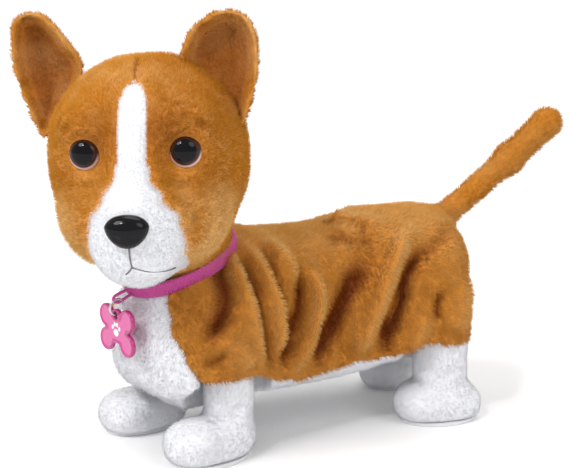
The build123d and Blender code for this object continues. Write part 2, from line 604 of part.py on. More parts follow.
with BuildPart() as tag_ring:
    with BuildSketch(Plane.XZ.offset(-LUG_Y)):
        with Locations((0, RING_Z + RING_R)):
            Circle(RING_WIRE)
    revolve(axis=Axis((0, LUG_Y, RING_Z), (1, 0, 0)))
save(tag_ring.part, "tag_ring", FRONT)

TAG_Z, TAG_THICK, LOBE_R, LOBE_X, LOBE_Z = 67.5, 2.6, 6.2, 9.3, 6.2
with BuildPart() as tag_plate:
    with BuildSketch(Plane.XZ.offset(-LUG_Y + TAG_THICK / 2)):
        with Locations((0, TAG_Z)):
            Rectangle(2 * LOBE_X, 2 * LOBE_Z + 1)
            with GridLocations(2 * LOBE_X, 2 * LOBE_Z, 2, 2):
                Circle(LOBE_R)
        with Locations((0, TAG_Z + 8)):
            Rectangle(7, 6)
        with Locations((0, RING_Z - RING_R + 0.7)):
            Circle(2, mode=Mode.SUBTRACT)
    extrude(amount=-TAG_THICK)
save(tag_plate.part, "tag_plate", FRONT)

# Legs: a plastic shell that turns on the hip axle, a plush sleeve and a sole
ARM_IN, ARM_OUT, ARM_R = 19.5, 27.5, 9.0
BONE_R, FOOT_PLATE = 9.5, 9.0
COLUMN_R = 13.2
SOLE = 2.0
LEVER_REACH, LEVER_HEIGHT, LEVER_THICK = 27.0, 10.0, 4.0


def foot_outline(x, y, width, length):
    """A foot seen from above: straight sides with round ends."""
    with Locations((x, y)):
        Ellipse(width / 2, length / 2)


def leg(side, hip_y, foot_y, column_y, column_half, driven, name, frame):
    """Write the three pieces of one leg. side is 1 for the puppy's left."""
    x = side * LEG_X
    with BuildPart() as shell:
        with BuildSketch(Plane.XY.offset(SOLE + 1)):
            foot_outline(x, foot_y, FOOT_WIDTH - 6, FOOT_LENGTH - 6)
        extrude(amount=FOOT_PLATE)
        with BuildSketch(Plane.XY.offset(SOLE + 1)):
            with Locations((x, column_y)):
                Circle(BONE_R)
        extrude(amount=SLEEVE_TOP + 6 - SOLE - 1)
        with BuildSketch(Plane.YZ.offset(side * ARM_IN)):
            with Locations((hip_y, (HIP_Z + SLEEVE_TOP + 1) / 2)):
                Rectangle(2 * ARM_R, HIP_Z - SLEEVE_TOP - 1)
            with Locations((hip_y, HIP_Z)):
                Circle(ARM_R)
        extrude(amount=side * (ARM_OUT - ARM_IN))
        if driven:
            with BuildSketch(Plane.YZ.offset(side * ARM_IN)):
                with Locations((hip_y + LEVER_REACH / 2, CRANK_Z)):
                    Rectangle(LEVER_REACH, LEVER_HEIGHT)
            extrude(amount=side * LEVER_THICK)
            with BuildSketch(Plane.YZ.offset(side * ARM_IN)):
                with Locations((hip_y + LEVER_REACH - 8, CRANK_Z)):
                    SlotOverall(13, 3.2)
            extrude(amount=side * LEVER_THICK, mode=Mode.SUBTRACT)
        with BuildSketch(Plane.YZ.offset(side * (ARM_IN - 1))):
            with Locations((hip_y, HIP_Z)):
                Circle(AXLE_R + FIT)
        extrude(amount=side * 12, mode=Mode.SUBTRACT)
    save(shell.part, f"{name}_leg_shell", frame)

    with BuildPart() as sleeve:
        with BuildSketch(Plane.XY.offset(SOLE)):
            foot_outline(x, foot_y, FOOT_WIDTH, FOOT_LENGTH)
        extrude(amount=FOOT_HEIGHT - SOLE)
        fillet(sleeve.faces().sort_by(Axis.Z)[-1].edges(), radius=7)
        with BuildSketch(Plane.XY.offset(SOLE + 4)):
            with Locations((x, column_y)):
                Ellipse(COLUMN_R, column_half)
        extrude(amount=SLEEVE_TOP - SOLE - 4)
        add(shell.part, mode=Mode.SUBTRACT)
    save(sleeve.part, f"{name}_leg_plush", frame)

    with BuildPart() as sole:
        with BuildSketch():
            foot_outline(x, foot_y, FOOT_WIDTH - 3, FOOT_LENGTH - 3)
        extrude(amount=SOLE)
        fillet(sole.faces().sort_by(Axis.Z)[0].edges(), radius=0.6)
    save(sole.part, f"{name}_sole", frame)


for side, word in ((1, "left"), (-1, "right")):
    leg(side, FRONT_HIP_Y, FRONT_HIP_Y - 12, FRONT_HIP_Y, COLUMN_R + 0.5, True, f"front_{word}", FRONT)
    leg(side, REAR_HIP_Y, REAR_HIP_Y - 2, REAR_HIP_Y, COLUMN_R + 3, False, f"rear_{word}", REAR)

# Head, in its own frame: origin at the middle of the skull, facing -Y
HEAD_R, HEAD_UP, SKULL_R, SKULL_WALL = 50.0, 59.0, 43.0, 2.4
EYE_X, EYE_Z, EYE_R, EYE_RIM, EYE_DOME, EYE_BACK = 24.3, 14.0, 7.6, 2.5, 5.0, 38.5
MUZZLE_Z, MUZZLE_R, MUZZLE_TIP = -23.0, 24.0, -68.0
NOSE_Z = -16.5
STEM_R, STEM_HOLE_R = 2.2, 2.4  # the eyes and the nose are held by stems through the plush
NECK_HOLE = 4.0


def head_form(grow):
    """The outside of the head: a ball drawn upwards, larger than nominal by grow."""
    radius = HEAD_R + grow
    with BuildPart() as form:
        with BuildSketch(Plane.XZ):
            with BuildLine():
                CenterArc((0, 0), radius, 270, 90)
                Line((radius, 0), (radius, HEAD_UP - HEAD_R))
                CenterArc((0, HEAD_UP - HEAD_R), radius, 0, 90)
                Line((0, -radius), (0, radius + HEAD_UP - HEAD_R))
            make_face()
        revolve(axis=Axis.Z)
    return form.part


head_outside, head_clear = head_form(0), head_form(0.1)
with BuildPart() as skull:
    Sphere(SKULL_R)
    Sphere(SKULL_R - SKULL_WALL, mode=Mode.SUBTRACT)
    with BuildSketch(NECK_BOTTOM.offset(HEAD_HEIGHT - SKULL_R + 1)):
        Circle(SPINDLE_R + 3)
    extrude(amount=18)
    with BuildSketch(NECK_BOTTOM):
        Circle(SPINDLE_R + FIT)
    extrude(amount=40, mode=Mode.SUBTRACT)
    with BuildSketch(Plane.XZ):
        with Locations((EYE_X, EYE_Z), (-EYE_X, EYE_Z)):
            Circle(STEM_HOLE_R)
        with Locations((0, NOSE_Z)):
            Circle(STEM_HOLE_R)
    extrude(amount=60, mode=Mode.SUBTRACT)
for keep, name in ((Keep.TOP, "skull_front"), (Keep.BOTTOM, "skull_rear")):
    with BuildPart() as half:
        add(skull.part)
        split(bisect_by=Plane.XZ, keep=keep)
    save(half.part, name, HEAD)

with BuildPart() as muzzle_form:
    with BuildSketch(Plane.YZ):
        with BuildLine():
            Polyline((-20, MUZZLE_Z), (-20, MUZZLE_Z + MUZZLE_R + 3), (-44, MUZZLE_Z + MUZZLE_R))
            Spline(
                (-44, MUZZLE_Z + MUZZLE_R),
                (-62, MUZZLE_Z + 15),
                (MUZZLE_TIP, MUZZLE_Z),
                tangents=[(-1, -0.1), (0, -1)],
            )
            Line((MUZZLE_TIP, MUZZLE_Z), (-20, MUZZLE_Z))
        make_face()
    revolve(axis=Axis((0, 0, MUZZLE_Z), (0, 1, 0)))

with BuildPart() as head_plush:
    add(head_outside)
    Sphere(SKULL_R + GAP, mode=Mode.SUBTRACT)
    with BuildSketch(NECK_BOTTOM.offset(NECK_HOLE)):
        Circle(SPINDLE_R + 4)
    extrude(amount=20, mode=Mode.SUBTRACT)
    split(bisect_by=NECK_BOTTOM.offset(NECK_HOLE), keep=Keep.TOP)
    with BuildSketch(Plane.XZ.offset(20)):
        with Locations((EYE_X, EYE_Z), (-EYE_X, EYE_Z)):
            Circle(EYE_R + 0.2)
    extrude(amount=40, mode=Mode.SUBTRACT)
    with BuildSketch(Plane.XZ.offset(20)):
        with Locations((0, NOSE_Z)):
            Circle(STEM_HOLE_R)
    extrude(amount=40, mode=Mode.SUBTRACT)
save(head_plush.part, "head_plush", HEAD)

with BuildPart() as muzzle_plush:
    add(muzzle_form.part)
    add(head_clear, mode=Mode.SUBTRACT)
    with BuildSketch(Plane.XZ.offset(60)):
        with Locations((0, NOSE_Z)):
            Ellipse(9, 6)
    extrude(amount=20, mode=Mode.SUBTRACT)
    with BuildSketch(Plane.XZ.offset(30)):
        with Locations((0, NOSE_Z)):
            Circle(STEM_HOLE_R)
    extrude(amount=40, mode=Mode.SUBTRACT)
save(muzzle_plush.part, "muzzle_plush", HEAD)

with BuildPart() as nose:
    with BuildSketch(Plane.XZ.offset(60)):
        with Locations((0, NOSE_Z)):
            Ellipse(8.8, 5.8)
    extrude(amount=-MUZZLE_TIP - 60 + 2)
    with BuildSketch(Plane.XZ.offset(-MUZZLE_TIP + 2)):
        with Locations((0, NOSE_Z)):
            Ellipse(10.8, 7.8)
    extrude(amount=5)
    fillet(nose.faces().sort_by(Axis.Y)[0].edges(), radius=3.2)
    with BuildSketch(Plane.XZ.offset(36)):
        with Locations((0, NOSE_Z)):
            Circle(STEM_R)
    extrude(amount=26)
save(nose.part, "nose", HEAD)

WASHER_R, WASHER_THICK = 5.0, 1.2
with BuildPart() as eye_washers:
    for side in (1, -1):
        with BuildSketch(Plane.XZ.offset(20.5)):
            with Locations((side * EYE_X, EYE_Z)):
                Circle(WASHER_R)
                Circle(STEM_R + FIT, mode=Mode.SUBTRACT)
        extrude(amount=WASHER_THICK)
save(eye_washers.part, "eye_washers", HEAD)

for side, word in ((1, "left"), (-1, "right")):
    with BuildPart() as eye:
        with BuildSketch(Plane.XZ.offset(EYE_BACK)):
            with Locations((side * EYE_X, EYE_Z)):
                Circle(EYE_R)
        extrude(amount=EYE_RIM)
        dome = Plane(origin=(side * EYE_X, -EYE_BACK - EYE_RIM, EYE_Z), x_dir=(1, 0, 0), z_dir=(0, 0, 1))
        with BuildSketch(dome):
            with BuildLine():
                Line((0, 0), (EYE_R, 0))
                RadiusArc((EYE_R, 0), (0, -EYE_DOME), (EYE_R**2 + EYE_DOME**2) / (2 * EYE_DOME))
                Line((0, -EYE_DOME), (0, 0))
            make_face()
        revolve(axis=Axis((side * EYE_X, 0, EYE_Z), (0, 1, 0)))
        with BuildSketch(Plane.XZ.offset(19)):
            with Locations((side * EYE_X, EYE_Z)):
                Circle(STEM_R)
        extrude(amount=EYE_BACK - 18)
    save(eye.part, f"eye_{word}", HEAD)

# Ears: leaves that stand on the sides of the head, open to the front
EAR_THICK = 5.0
EAR_LEFT = [(17, 54), (25, 73), (41, 81), (55, 73), (58, 50), (47, 20)]
EAR_RIGHT = [(28, 54), (38, 71), (55, 83), (66, 74), (67, 51), (52, 18)]  # leans further out
for side, word, outline in ((1, "left", EAR_LEFT), (-1, "right", EAR_RIGHT)):
    with BuildPart() as ear:
        with BuildSketch(Plane.XZ.offset(-2)):
            with BuildLine():
                edge = Spline(*[(side * x, z) for x, z in outline])
                Line(edge @ 1, edge @ 0)
            make_face()
        extrude(amount=EAR_THICK / 2, both=True)
        add(head_clear, mode=Mode.SUBTRACT)
    save(ear.part, f"ear_{word}", HEAD)
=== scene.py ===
"""Looks of a walking plush puppy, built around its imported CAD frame.

Soft shapes are written as distance fields in millimetres, turned into meshes by surface nets, and covered
with a short pile of closed strands. Everything is placed from the frame's joints and boxes.
"""

import json
import math

import bmesh
import bpy
import numpy as np
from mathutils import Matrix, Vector
from mathutils.kdtree import KDTree


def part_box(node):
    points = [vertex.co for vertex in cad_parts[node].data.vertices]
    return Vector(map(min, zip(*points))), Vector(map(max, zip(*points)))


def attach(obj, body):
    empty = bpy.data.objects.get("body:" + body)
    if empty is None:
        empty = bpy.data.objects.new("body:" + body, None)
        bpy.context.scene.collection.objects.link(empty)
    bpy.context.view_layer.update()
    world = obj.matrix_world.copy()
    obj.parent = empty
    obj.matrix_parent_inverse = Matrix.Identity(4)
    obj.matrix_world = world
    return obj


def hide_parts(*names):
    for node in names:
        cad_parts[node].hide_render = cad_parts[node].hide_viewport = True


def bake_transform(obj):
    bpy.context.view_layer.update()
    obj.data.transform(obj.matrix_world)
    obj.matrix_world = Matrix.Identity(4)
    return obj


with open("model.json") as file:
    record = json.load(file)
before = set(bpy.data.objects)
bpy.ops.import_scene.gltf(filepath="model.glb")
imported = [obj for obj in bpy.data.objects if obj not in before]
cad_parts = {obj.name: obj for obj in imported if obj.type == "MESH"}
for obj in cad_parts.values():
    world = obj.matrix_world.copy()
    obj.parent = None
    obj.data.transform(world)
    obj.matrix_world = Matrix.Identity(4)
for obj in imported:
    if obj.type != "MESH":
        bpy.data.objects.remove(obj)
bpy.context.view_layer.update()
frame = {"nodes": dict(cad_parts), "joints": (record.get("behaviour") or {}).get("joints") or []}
MM = 0.001
JOINTS = {joint["name"]: joint for joint in frame["joints"]}


def detail(full):
    """A step or count for the whole model, given back as it is."""
    return full


# ---------------- frames
class Axes:
    """A right-handed frame: its origin in row millimetres and its left, back and up directions."""

    def __init__(self, origin, left, back, up):
        self.origin = np.array(origin, float)
        self.turn = np.array([left, back, up], float)

    def out(self, points):
        """Local millimetres to row metres."""
        return (np.asarray(points, float) @ self.turn + self.origin) * MM

    def place(self, points):
        """Local millimetres to row millimetres."""
        return self.out(points) / MM

    def into(self, points):
        """Row metres to local millimetres."""
        return (np.asarray(points, float) / MM - self.origin) @ self.turn.T


def unit(vector):
    """The vector at length one."""
    vector = np.asarray(vector, float)
    return vector / np.linalg.norm(vector)


def units(rows):
    """Each row at length one."""
    return rows / np.maximum(np.linalg.norm(rows, axis=1), 1e-6)[:, None]


def distance(points, centre):
    """How far each point lies from a centre."""
    return np.linalg.norm(points - centre, axis=1)


def along_line(points, a, b):
    """Each point's share of the way from a to b, and its distance from that line."""
    t = np.clip((points - a) @ (b - a) / ((b - a) @ (b - a)), 0, 1)
    return t, np.linalg.norm(points - a - t[:, None] * (b - a), axis=1)


def circle(count):
    """Angles evenly around a circle."""
    return np.arange(count) / count * 2 * math.pi


def middle(node):
    """The middle of a CAD node's box, in metres."""
    low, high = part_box(node)
    return (np.array(low) + np.array(high)) / 2


WAIST = np.array(JOINTS["waist_turn"]["pos_m"]) / MM * (1, 1, 0)
REAR_LEFT = unit(JOINTS["rear_left_swing"]["axis"])
FRONT = Axes(WAIST, (1, 0, 0), (0, 1, 0), (0, 0, 1))
REAR = Axes(WAIST, REAR_LEFT, np.cross((0, 0, 1), REAR_LEFT), (0, 0, 1))
BEND = -math.atan2(REAR_LEFT[1], REAR_LEFT[0])
NECK_SEAT = np.array(JOINTS["neck_turn"]["pos_m"]) / MM
NECK_UP = unit(JOINTS["neck_turn"]["axis"])
HEAD_HEIGHT = 50.0
HEAD_LEFT = unit(middle("eye_left") - middle("eye_right"))
HEAD_BACK = unit(np.cross((0, 0, 1), HEAD_LEFT))
HEAD = Axes(NECK_SEAT + NECK_UP * HEAD_HEIGHT, HEAD_LEFT, HEAD_BACK, np.cross(HEAD_LEFT, HEAD_BACK))
BEND_HALF = 25.0  # the cloth bends over this much each side of the waist pivot
BEND_R = BEND_HALF / math.tan(BEND / 2)


def bend(points):
    """The straight puppy's coordinates (left, back, up) to the bent waist of the standing pose."""
    x, s, z = np.asarray(points, float).T
    angle = np.clip((s + BEND_HALF) / (2 * BEND_HALF), 0, 1) * BEND
    over = np.maximum(s - BEND_HALF, 0)
    before = np.minimum(s + BEND_HALF, 0)
    radius = BEND_R - x
    bent_x = BEND_R - radius * np.cos(angle) + over * np.sin(angle)
    bent_y = -BEND_HALF + radius * np.sin(angle) + over * np.cos(angle) + before
    return np.stack([bent_x, bent_y, z], 1)


# ---------------- distance fields, in millimetres
def egg(p, centre, radii, power=2.0):
    """About the distance to a superellipsoid."""
    q = np.abs((p - centre) / radii)
    k = np.maximum((q**power).sum(1), 1e-9) ** (1 / power)
    return (k - 1) * distance(p, centre) / np.maximum(k, 1e-6)


def cone(p, a, b, radius_a, radius_b):
    """Distance to a round-ended cone from a to b."""
    t, gap = along_line(p, np.array(a, float), np.array(b, float))
    return gap - (radius_a + (radius_b - radius_a) * t)


def join(a, b, k):
    """Smooth union."""
    h = np.clip(0.5 + 0.5 * (b - a) / k, 0, 1)
    return b + (a - b) * h - k * h * (1 - h)


def common(a, b, k):
    """Smooth intersection."""
    return -join(-a, -b, k)


def bell(x, width):
    """A smooth bump of height one."""
    return np.exp(-((x / width) ** 2))


def ramp(x, low, high):
    """Smoothly from 0 at low to 1 at high."""
    t = np.clip((x - low) / (high - low), 0, 1)
    return t * t * (3 - 2 * t)


def curve(x, knots):
    """A smooth curve through (x, value) knots."""
    knots = np.array(knots, float)
    i = np.clip(np.searchsorted(knots[:, 0], x) - 1, 0, len(knots) - 2)
    t = ramp(x, knots[i, 0], knots[i + 1, 0])
    return knots[i, 1] + (knots[i + 1, 1] - knots[i, 1]) * t


def mirrored(p):
    """Points with the left coordinate made positive."""
    return p * (np.sign(p[:, :1]) * (1, 0, 0) + (0, 1, 1))


# ---------------- meshes from fields
CORNERS = [(i, j, k) for i in (0, 1) for j in (0, 1) for k in (0, 1)]


def surface_nets(field, low, high, step):
    """Vertices and quads of the surface field = 0 inside a box."""
    grid = [np.arange(a, b + step, step) for a, b in zip(low, high)]
    shape = tuple(len(g) for g in grid)
    value = np.empty(shape)
    for i, x in enumerate(grid[0]):
        y, z = np.meshgrid(grid[1], grid[2], indexing="ij")
        value[i] = field(np.stack([np.full(y.size, x), y.ravel(), z.ravel()], 1)).reshape(y.shape)
    inside = value < 0
    cut = [slice(0, -1), slice(1, None)]
    count = sum(inside[cut[i], cut[j], cut[k]].astype(int) for i, j, k in CORNERS)
    cells = np.argwhere((count > 0) & (count < 8))
    total, hits = np.zeros((len(cells), 3)), np.zeros(len(cells))
    for a in CORNERS:
        for axis in range(3):
            if a[axis]:
                continue
            b = tuple(c + (axis == n) for n, c in enumerate(a))
            va, vb = (value[tuple((cells + c).T)] for c in (a, b))
            crossed = (va < 0) != (vb < 0)
            t = np.where(crossed, va / np.where(crossed, va - vb, 1), 0)
            total += crossed[:, None] * (np.array(a) + t[:, None] * (np.array(b) - np.array(a)))
            hits += crossed
    verts = (cells + total / hits[:, None]) * step + np.array([g[0] for g in grid])
    index = np.full(tuple(n - 1 for n in shape), -1)
    index[tuple(cells.T)] = np.arange(len(cells))
    quads = []
    for axis in range(3):
        other = [n for n in range(3) if n != axis]
        here, there = [slice(None)] * 3, [slice(None)] * 3
        here[axis], there[axis] = cut
        edges = np.argwhere(inside[tuple(here)] != inside[tuple(there)])
        across = edges[:, other]
        edges = edges[((across > 0) & (across < np.array(index.shape)[other])).all(1)]
        u, v = np.eye(3, dtype=int)[other]
        around = (-u - v, -v, 0 * u, -u)
        ring = np.stack([index[tuple((edges + step_to).T)] for step_to in around], 1)
        flip = inside[tuple(edges.T)] != (axis == 1)
        ring[~flip] = ring[~flip][:, ::-1]
        quads.append(ring)
    quads = np.concatenate(quads)
    return verts, quads[(quads >= 0).all(1)]


def slope(field, p, e=0.3):
    """The field's gradient."""
    steps = np.eye(3) * e
    return np.stack([(field(p + d) - field(p - d)) / (2 * e) for d in steps], 1)


def outward_of(field, verts):
    """Unit directions out of a field's surface."""
    return units(slope(field, verts))


def build(field, low, high, step):
    """A mesh of the field's surface, with its points pulled exactly onto it."""
    verts, quads = surface_nets(field, low, high, step)
    for _ in range(3):
        g = slope(field, verts)
        pull = (field(verts) / np.maximum((g * g).sum(1), 0.05))[:, None] * g
        verts = verts - np.clip(pull, -step / 2, step / 2)
    return verts, quads


def relax(verts, quads, rounds):
    """Move the points half way to their neighbours' average, a few times."""
    a, b = quads.ravel(), np.roll(quads, -1, 1).ravel()
    both = np.concatenate([a, b]), np.concatenate([b, a])
    count = np.bincount(both[0], minlength=len(verts))[:, None]
    for _ in range(rounds):
        total = np.stack([np.bincount(both[0], verts[both[1], n], len(verts)) for n in range(3)], 1)
        verts = verts + 0.5 * (total / np.maximum(count, 1) - verts)
    return verts


def normals_of(verts, quads):
    """Smooth point normals of a quad mesh."""
    a, b, c, d = (verts[quads[:, n]] for n in range(4))
    face = np.cross(c - a, d - b)
    total = np.zeros_like(verts)
    for n in range(4):
        for axis in range(3):
            total[:, axis] += np.bincount(quads[:, n], face[:, axis], len(verts))
    return units(total)


def add(name, data):
    """A new object in the scene."""
    made = bpy.data.objects.new(name, data)
    bpy.context.scene.collection.objects.link(made)
    return made


def make_mesh(name, verts, faces, smooth=True):
    """A mesh object from row-frame metres. faces is an array with three or four columns."""
    mesh = bpy.data.meshes.new(name)
    size = faces.shape[1]
    mesh.vertices.add(len(verts))
    mesh.vertices.foreach_set("co", np.asarray(verts, np.float32).ravel())
    mesh.loops.add(faces.size)
    mesh.loops.foreach_set("vertex_index", faces.astype(np.int32).ravel())
    mesh.polygons.add(len(faces))
    mesh.polygons.foreach_set("loop_start", np.arange(0, faces.size, size, dtype=np.int32))
    mesh.update(calc_edges=True)
    mesh.validate()
    if smooth:
        mesh.shade_smooth()
    return add(name, mesh)


def paint(piece, colours):
    """Write the point colours that the tinted materials read."""
    layer = piece.data.color_attributes.new("tint", "FLOAT_COLOR", "POINT")
    rgba = np.ones((len(colours), 4), np.float32)
    rgba[:, :3] = colours
    layer.data.foreach_set("color", rgba.ravel())


# ---------------- skins and pile
class Skin:
    """A surface in a body's own millimetres, with the function that puts it into the row frame."""

    def __init__(self, verts, quads, place):
        self.local, self.quads, self.place = verts, quads, place
        self.row = place(verts)
        self.normals = normals_of(self.row, quads)

    def flow(self, direction, points):
        """A local direction at local points, turned into the row frame."""
        step = 0.2
        return (self.place(points + direction * step) - self.place(points)) / step

    def mesh(self, name, colours):
        """The skin as a painted mesh object."""
        piece = make_mesh(name, self.row * MM, self.quads)
        paint(piece, colours)
        return piece


def raised(field, verts, quads, relief, place):
    """A field's surface as a skin, lifted outwards by the relief."""
    return Skin(verts + outward_of(field, verts) * relief[:, None], quads, place)


PILE_LIMIT = 48000  # strands in one piece, which keeps its exported mesh whole
PILE_SEED = 7
PILE_LEAN = 0.75  # how far a strand leans along the comb
PILE_SINK = 0.35  # how deep a strand starts below the skin
PILE_CORNERS = (0, 2.094, 4.189)  # angles of a strand's three base corners
PILE_SIZES, PILE_MOTTLE = (0.75, 1.2), 0.055  # how uneven strands are in length and in colour
STRAND_UV = [(0.15, 0.15), (0.85, 0.15), (0.15, 0.5), (0.5, 0.85)]  # a strand's points in its square
STRAND_FACES = np.array([(0, 1, 3), (1, 2, 3), (2, 0, 3), (0, 2, 1)])
CARAMEL_DENSITY = 1.8  # strands for each square millimetre
piles_made = []


def scatter(skin, density, rng):
    """Random points on a skin: their local places, row places and normals."""
    tri = np.concatenate([skin.quads[:, [0, 1, 2]], skin.quads[:, [0, 2, 3]]])
    a, b, c = (skin.row[tri[:, n]] for n in range(3))
    area = np.linalg.norm(np.cross(b - a, c - a), axis=1) / 2
    total = int(area.sum() * density)
    pick = np.searchsorted(np.cumsum(area) / area.sum(), rng.random(total))
    pick = np.clip(pick, 0, len(tri) - 1)
    u, v = rng.random(total), rng.random(total)
    fold = u + v > 1
    u, v = np.where(fold, 1 - u, u), np.where(fold, 1 - v, v)
    share = np.stack([1 - u - v, u, v], 1)

    def mix(values):
        return sum(values[tri[pick, n]] * share[:, n : n + 1] for n in range(3))

    return mix(skin.local), mix(skin.row), units(mix(skin.normals))


def pile(name, skin, density, length, comb, tint, keep=None, width=0.42, ruffle=0.28, painted_shade=0.8):
    """Closed tapering strands on a skin. length, comb, tint and keep are functions of local points."""
    rng = np.random.default_rng(PILE_SEED + len(piles_made))
    local, root, normal = scatter(skin, density, rng)
    if keep is not None:
        rng.random(len(local))  # a draw passed over, so that the strands below keep their places
        kept = keep(local)
        local, root, normal = local[kept], root[kept], normal[kept]
    count = len(local)
    along = skin.flow(comb(local), local)
    along = units(along - normal * (along * normal).sum(1)[:, None])
    aim = units(normal + along * PILE_LEAN + rng.normal(0, ruffle, (count, 3)))
    size = length(local) * rng.uniform(*PILE_SIZES, count)
    side = units(np.cross(aim, rng.normal(0, 1, (count, 3))))
    other = np.cross(aim, side)
    sunk = root - normal * PILE_SINK
    corner = [sunk + (side * math.cos(t) + other * math.sin(t)) * width / 2 for t in PILE_CORNERS]
    tip = sunk + aim * (size + PILE_SINK)[:, None]
    verts = np.stack([*corner, tip], 1)
    base = tint(local) * rng.normal(1, PILE_MOTTLE, (count, 1))
    # Painted shade at each strand's roots and painted light at its tip.
    shade = np.stack([base * painted_shade] * 3 + [base * (2 - painted_shade) ** 0.5], 1).clip(0, 1)
    parts = []
    for start in range(0, count, PILE_LIMIT):
        part = slice(start, min(start + PILE_LIMIT, count))
        parts.append(strands(f"{name}_{len(parts) + 1}", verts[part], shade[part], normal[part], aim[part]))
    piles_made.append(count)
    return parts


def strands(name, verts, shade, normal, aim):
    """One mesh of closed three-sided strands."""
    count = len(verts)
    first = np.arange(count)[:, None, None] * 4
    faces = (first + STRAND_FACES).reshape(-1, 3)
    piece = make_mesh(name, verts.reshape(-1, 3) * MM, faces)
    paint(piece, shade.reshape(-1, 3))
    soft = units(normal + aim * 0.35)
    piece.data.normals_split_custom_set_from_vertices(np.repeat(soft, 4, 0).tolist())
    side = math.ceil(math.sqrt(count))
    cell = np.stack([np.arange(count) % side, np.arange(count) // side], 1)[:, None] / side
    inside = np.array(STRAND_UV) / side
    layer = piece.data.uv_layers.new(name="OFBake")
    layer.data.foreach_set("uv", (cell + inside).reshape(-1, 2)[faces.ravel()].astype(np.float32).ravel())
    return piece


# ---------------- materials
def plain(name, colour, roughness=0.5, **more):
    """A Principled material with uniform values on its own sockets."""
    made = bpy.data.materials.new(name)
    made.use_nodes = True
    shader = made.node_tree.nodes["Principled BSDF"]
    shader.inputs["Base Color"].default_value = (*colour, 1)
    shader.inputs["Roughness"].default_value = roughness
    for key, value in more.items():
        shader.inputs[key.replace("_", " ")].default_value = value
    return made


def wire(made, output, socket):
    """Link an output to a socket of a material's shader."""
    made.node_tree.links.new(output, made.node_tree.nodes["Principled BSDF"].inputs[socket])


def link_bump(made, noise, strength, height=0.0002):
    """Drive a material's normal from a noise."""
    bump = made.node_tree.nodes.new("ShaderNodeBump")
    bump.inputs["Strength"].default_value = strength
    bump.inputs["Distance"].default_value = height
    made.node_tree.links.new(noise.outputs["Fac"], bump.inputs["Height"])
    wire(made, bump.outputs["Normal"], "Normal")


def object_noise(made, scale, octaves=3.0):
    """Noise in object coordinates, scale in cells per metre."""
    nodes, links = made.node_tree.nodes, made.node_tree.links
    place = nodes.new("ShaderNodeTexCoord")
    noise = nodes.new("ShaderNodeTexNoise")
    noise.inputs["Scale"].default_value = scale
    noise.inputs["Detail"].default_value = octaves
    links.new(place.outputs["Object"], noise.inputs["Vector"])
    return noise


def spread(made, noise, low, high):
    """A noise's values from low to high."""
    span = made.node_tree.nodes.new("ShaderNodeMapRange")
    span.inputs["To Min"].default_value = low
    span.inputs["To Max"].default_value = high
    made.node_tree.links.new(noise.outputs["Fac"], span.inputs["Value"])
    return span.outputs["Result"]


def tinted(name, roughness, grain, mottle, bump, **more):
    """Painted by the tint attribute, with mottled colour and a fine grain."""
    made = plain(name, (0.8, 0.8, 0.8), roughness, **more)
    nodes, links = made.node_tree.nodes, made.node_tree.links
    colour = nodes.new("ShaderNodeAttribute")
    colour.attribute_name = "tint"
    noise = object_noise(made, grain)
    mottling = spread(made, noise, 1 - mottle, 1 + mottle)
    mix = nodes.new("ShaderNodeMix")
    mix.data_type = "RGBA"
    mix.blend_type = "MULTIPLY"
    mix.inputs["Factor"].default_value = 1
    links.new(colour.outputs["Color"], mix.inputs["A"])
    links.new(mottling, mix.inputs["B"])
    wire(made, mix.outputs["Result"], "Base Color")
    if bump:
        link_bump(made, noise, bump, 0.0004)
    return made


def dress(piece, material):
    """Give a piece its material."""
    piece.data.materials.clear()
    piece.data.materials.append(material)


PILE_LOOK = tinted("plush pile", 0.85, 120, 0.09, 0, Specular_IOR_Level=0.08)
WHITE_SKIN_LOOK = tinted("white plush backing", 0.9, 900, 0.03, 0.15, Sheen_Weight=0.1)
SKIN_LOOK = tinted("plush backing", 0.9, 900, 0.2, 0.8, Sheen_Weight=0.1)


def dress_plush(piece, strand_pieces, backing):
    """The backing's material on a skin and the pile's on its strands."""
    dress(piece, backing)
    for each in strand_pieces:
        dress(each, PILE_LOOK)


# CARAMEL_DEEP and CARAMEL_LIGHT serve as painted shade and painted light on the coat, head and ears, and
# also as the darker seams and the uneven tone of the pile.
CARAMEL = np.array([0.58, 0.215, 0.018])
CARAMEL_LIGHT = np.array([0.82, 0.45, 0.15])
CARAMEL_DEEP = np.array([0.22, 0.04, 0.001])
WHITE = np.array([0.8, 0.805, 0.84])


def everywhere(value):
    """A function of points that gives the same number, colour or direction at each."""
    return lambda p: np.full((len(p), *np.shape(value)), value)


def blend_tint(a, b, share):
    """Colours from a to b by each point's share."""
    return a + (b - a) * np.clip(share, 0, 1)[:, None]


def cast(points, seed, size):
    """Smooth random values around zero, with features of about this size."""
    rng = np.random.default_rng(seed)
    total = np.zeros(len(points))
    for _ in range(7):
        total += np.sin(points @ rng.normal(0, 2.2 / size, 3) + rng.uniform(0, 6.28))
    return total / 2.6


def white_pile(name, skin, density, length, comb, keep, width=0.3):
    """Short white pile."""
    # Its strands take only a little painted shade at the roots and painted light at the tips.
    return pile(name, skin, density, everywhere(length), comb, everywhere(WHITE), keep, width, painted_shade=0.93)


def spot(p, centre, width):
    """A smooth round bump of height one about a centre."""
    return bell(distance(p, centre), width)


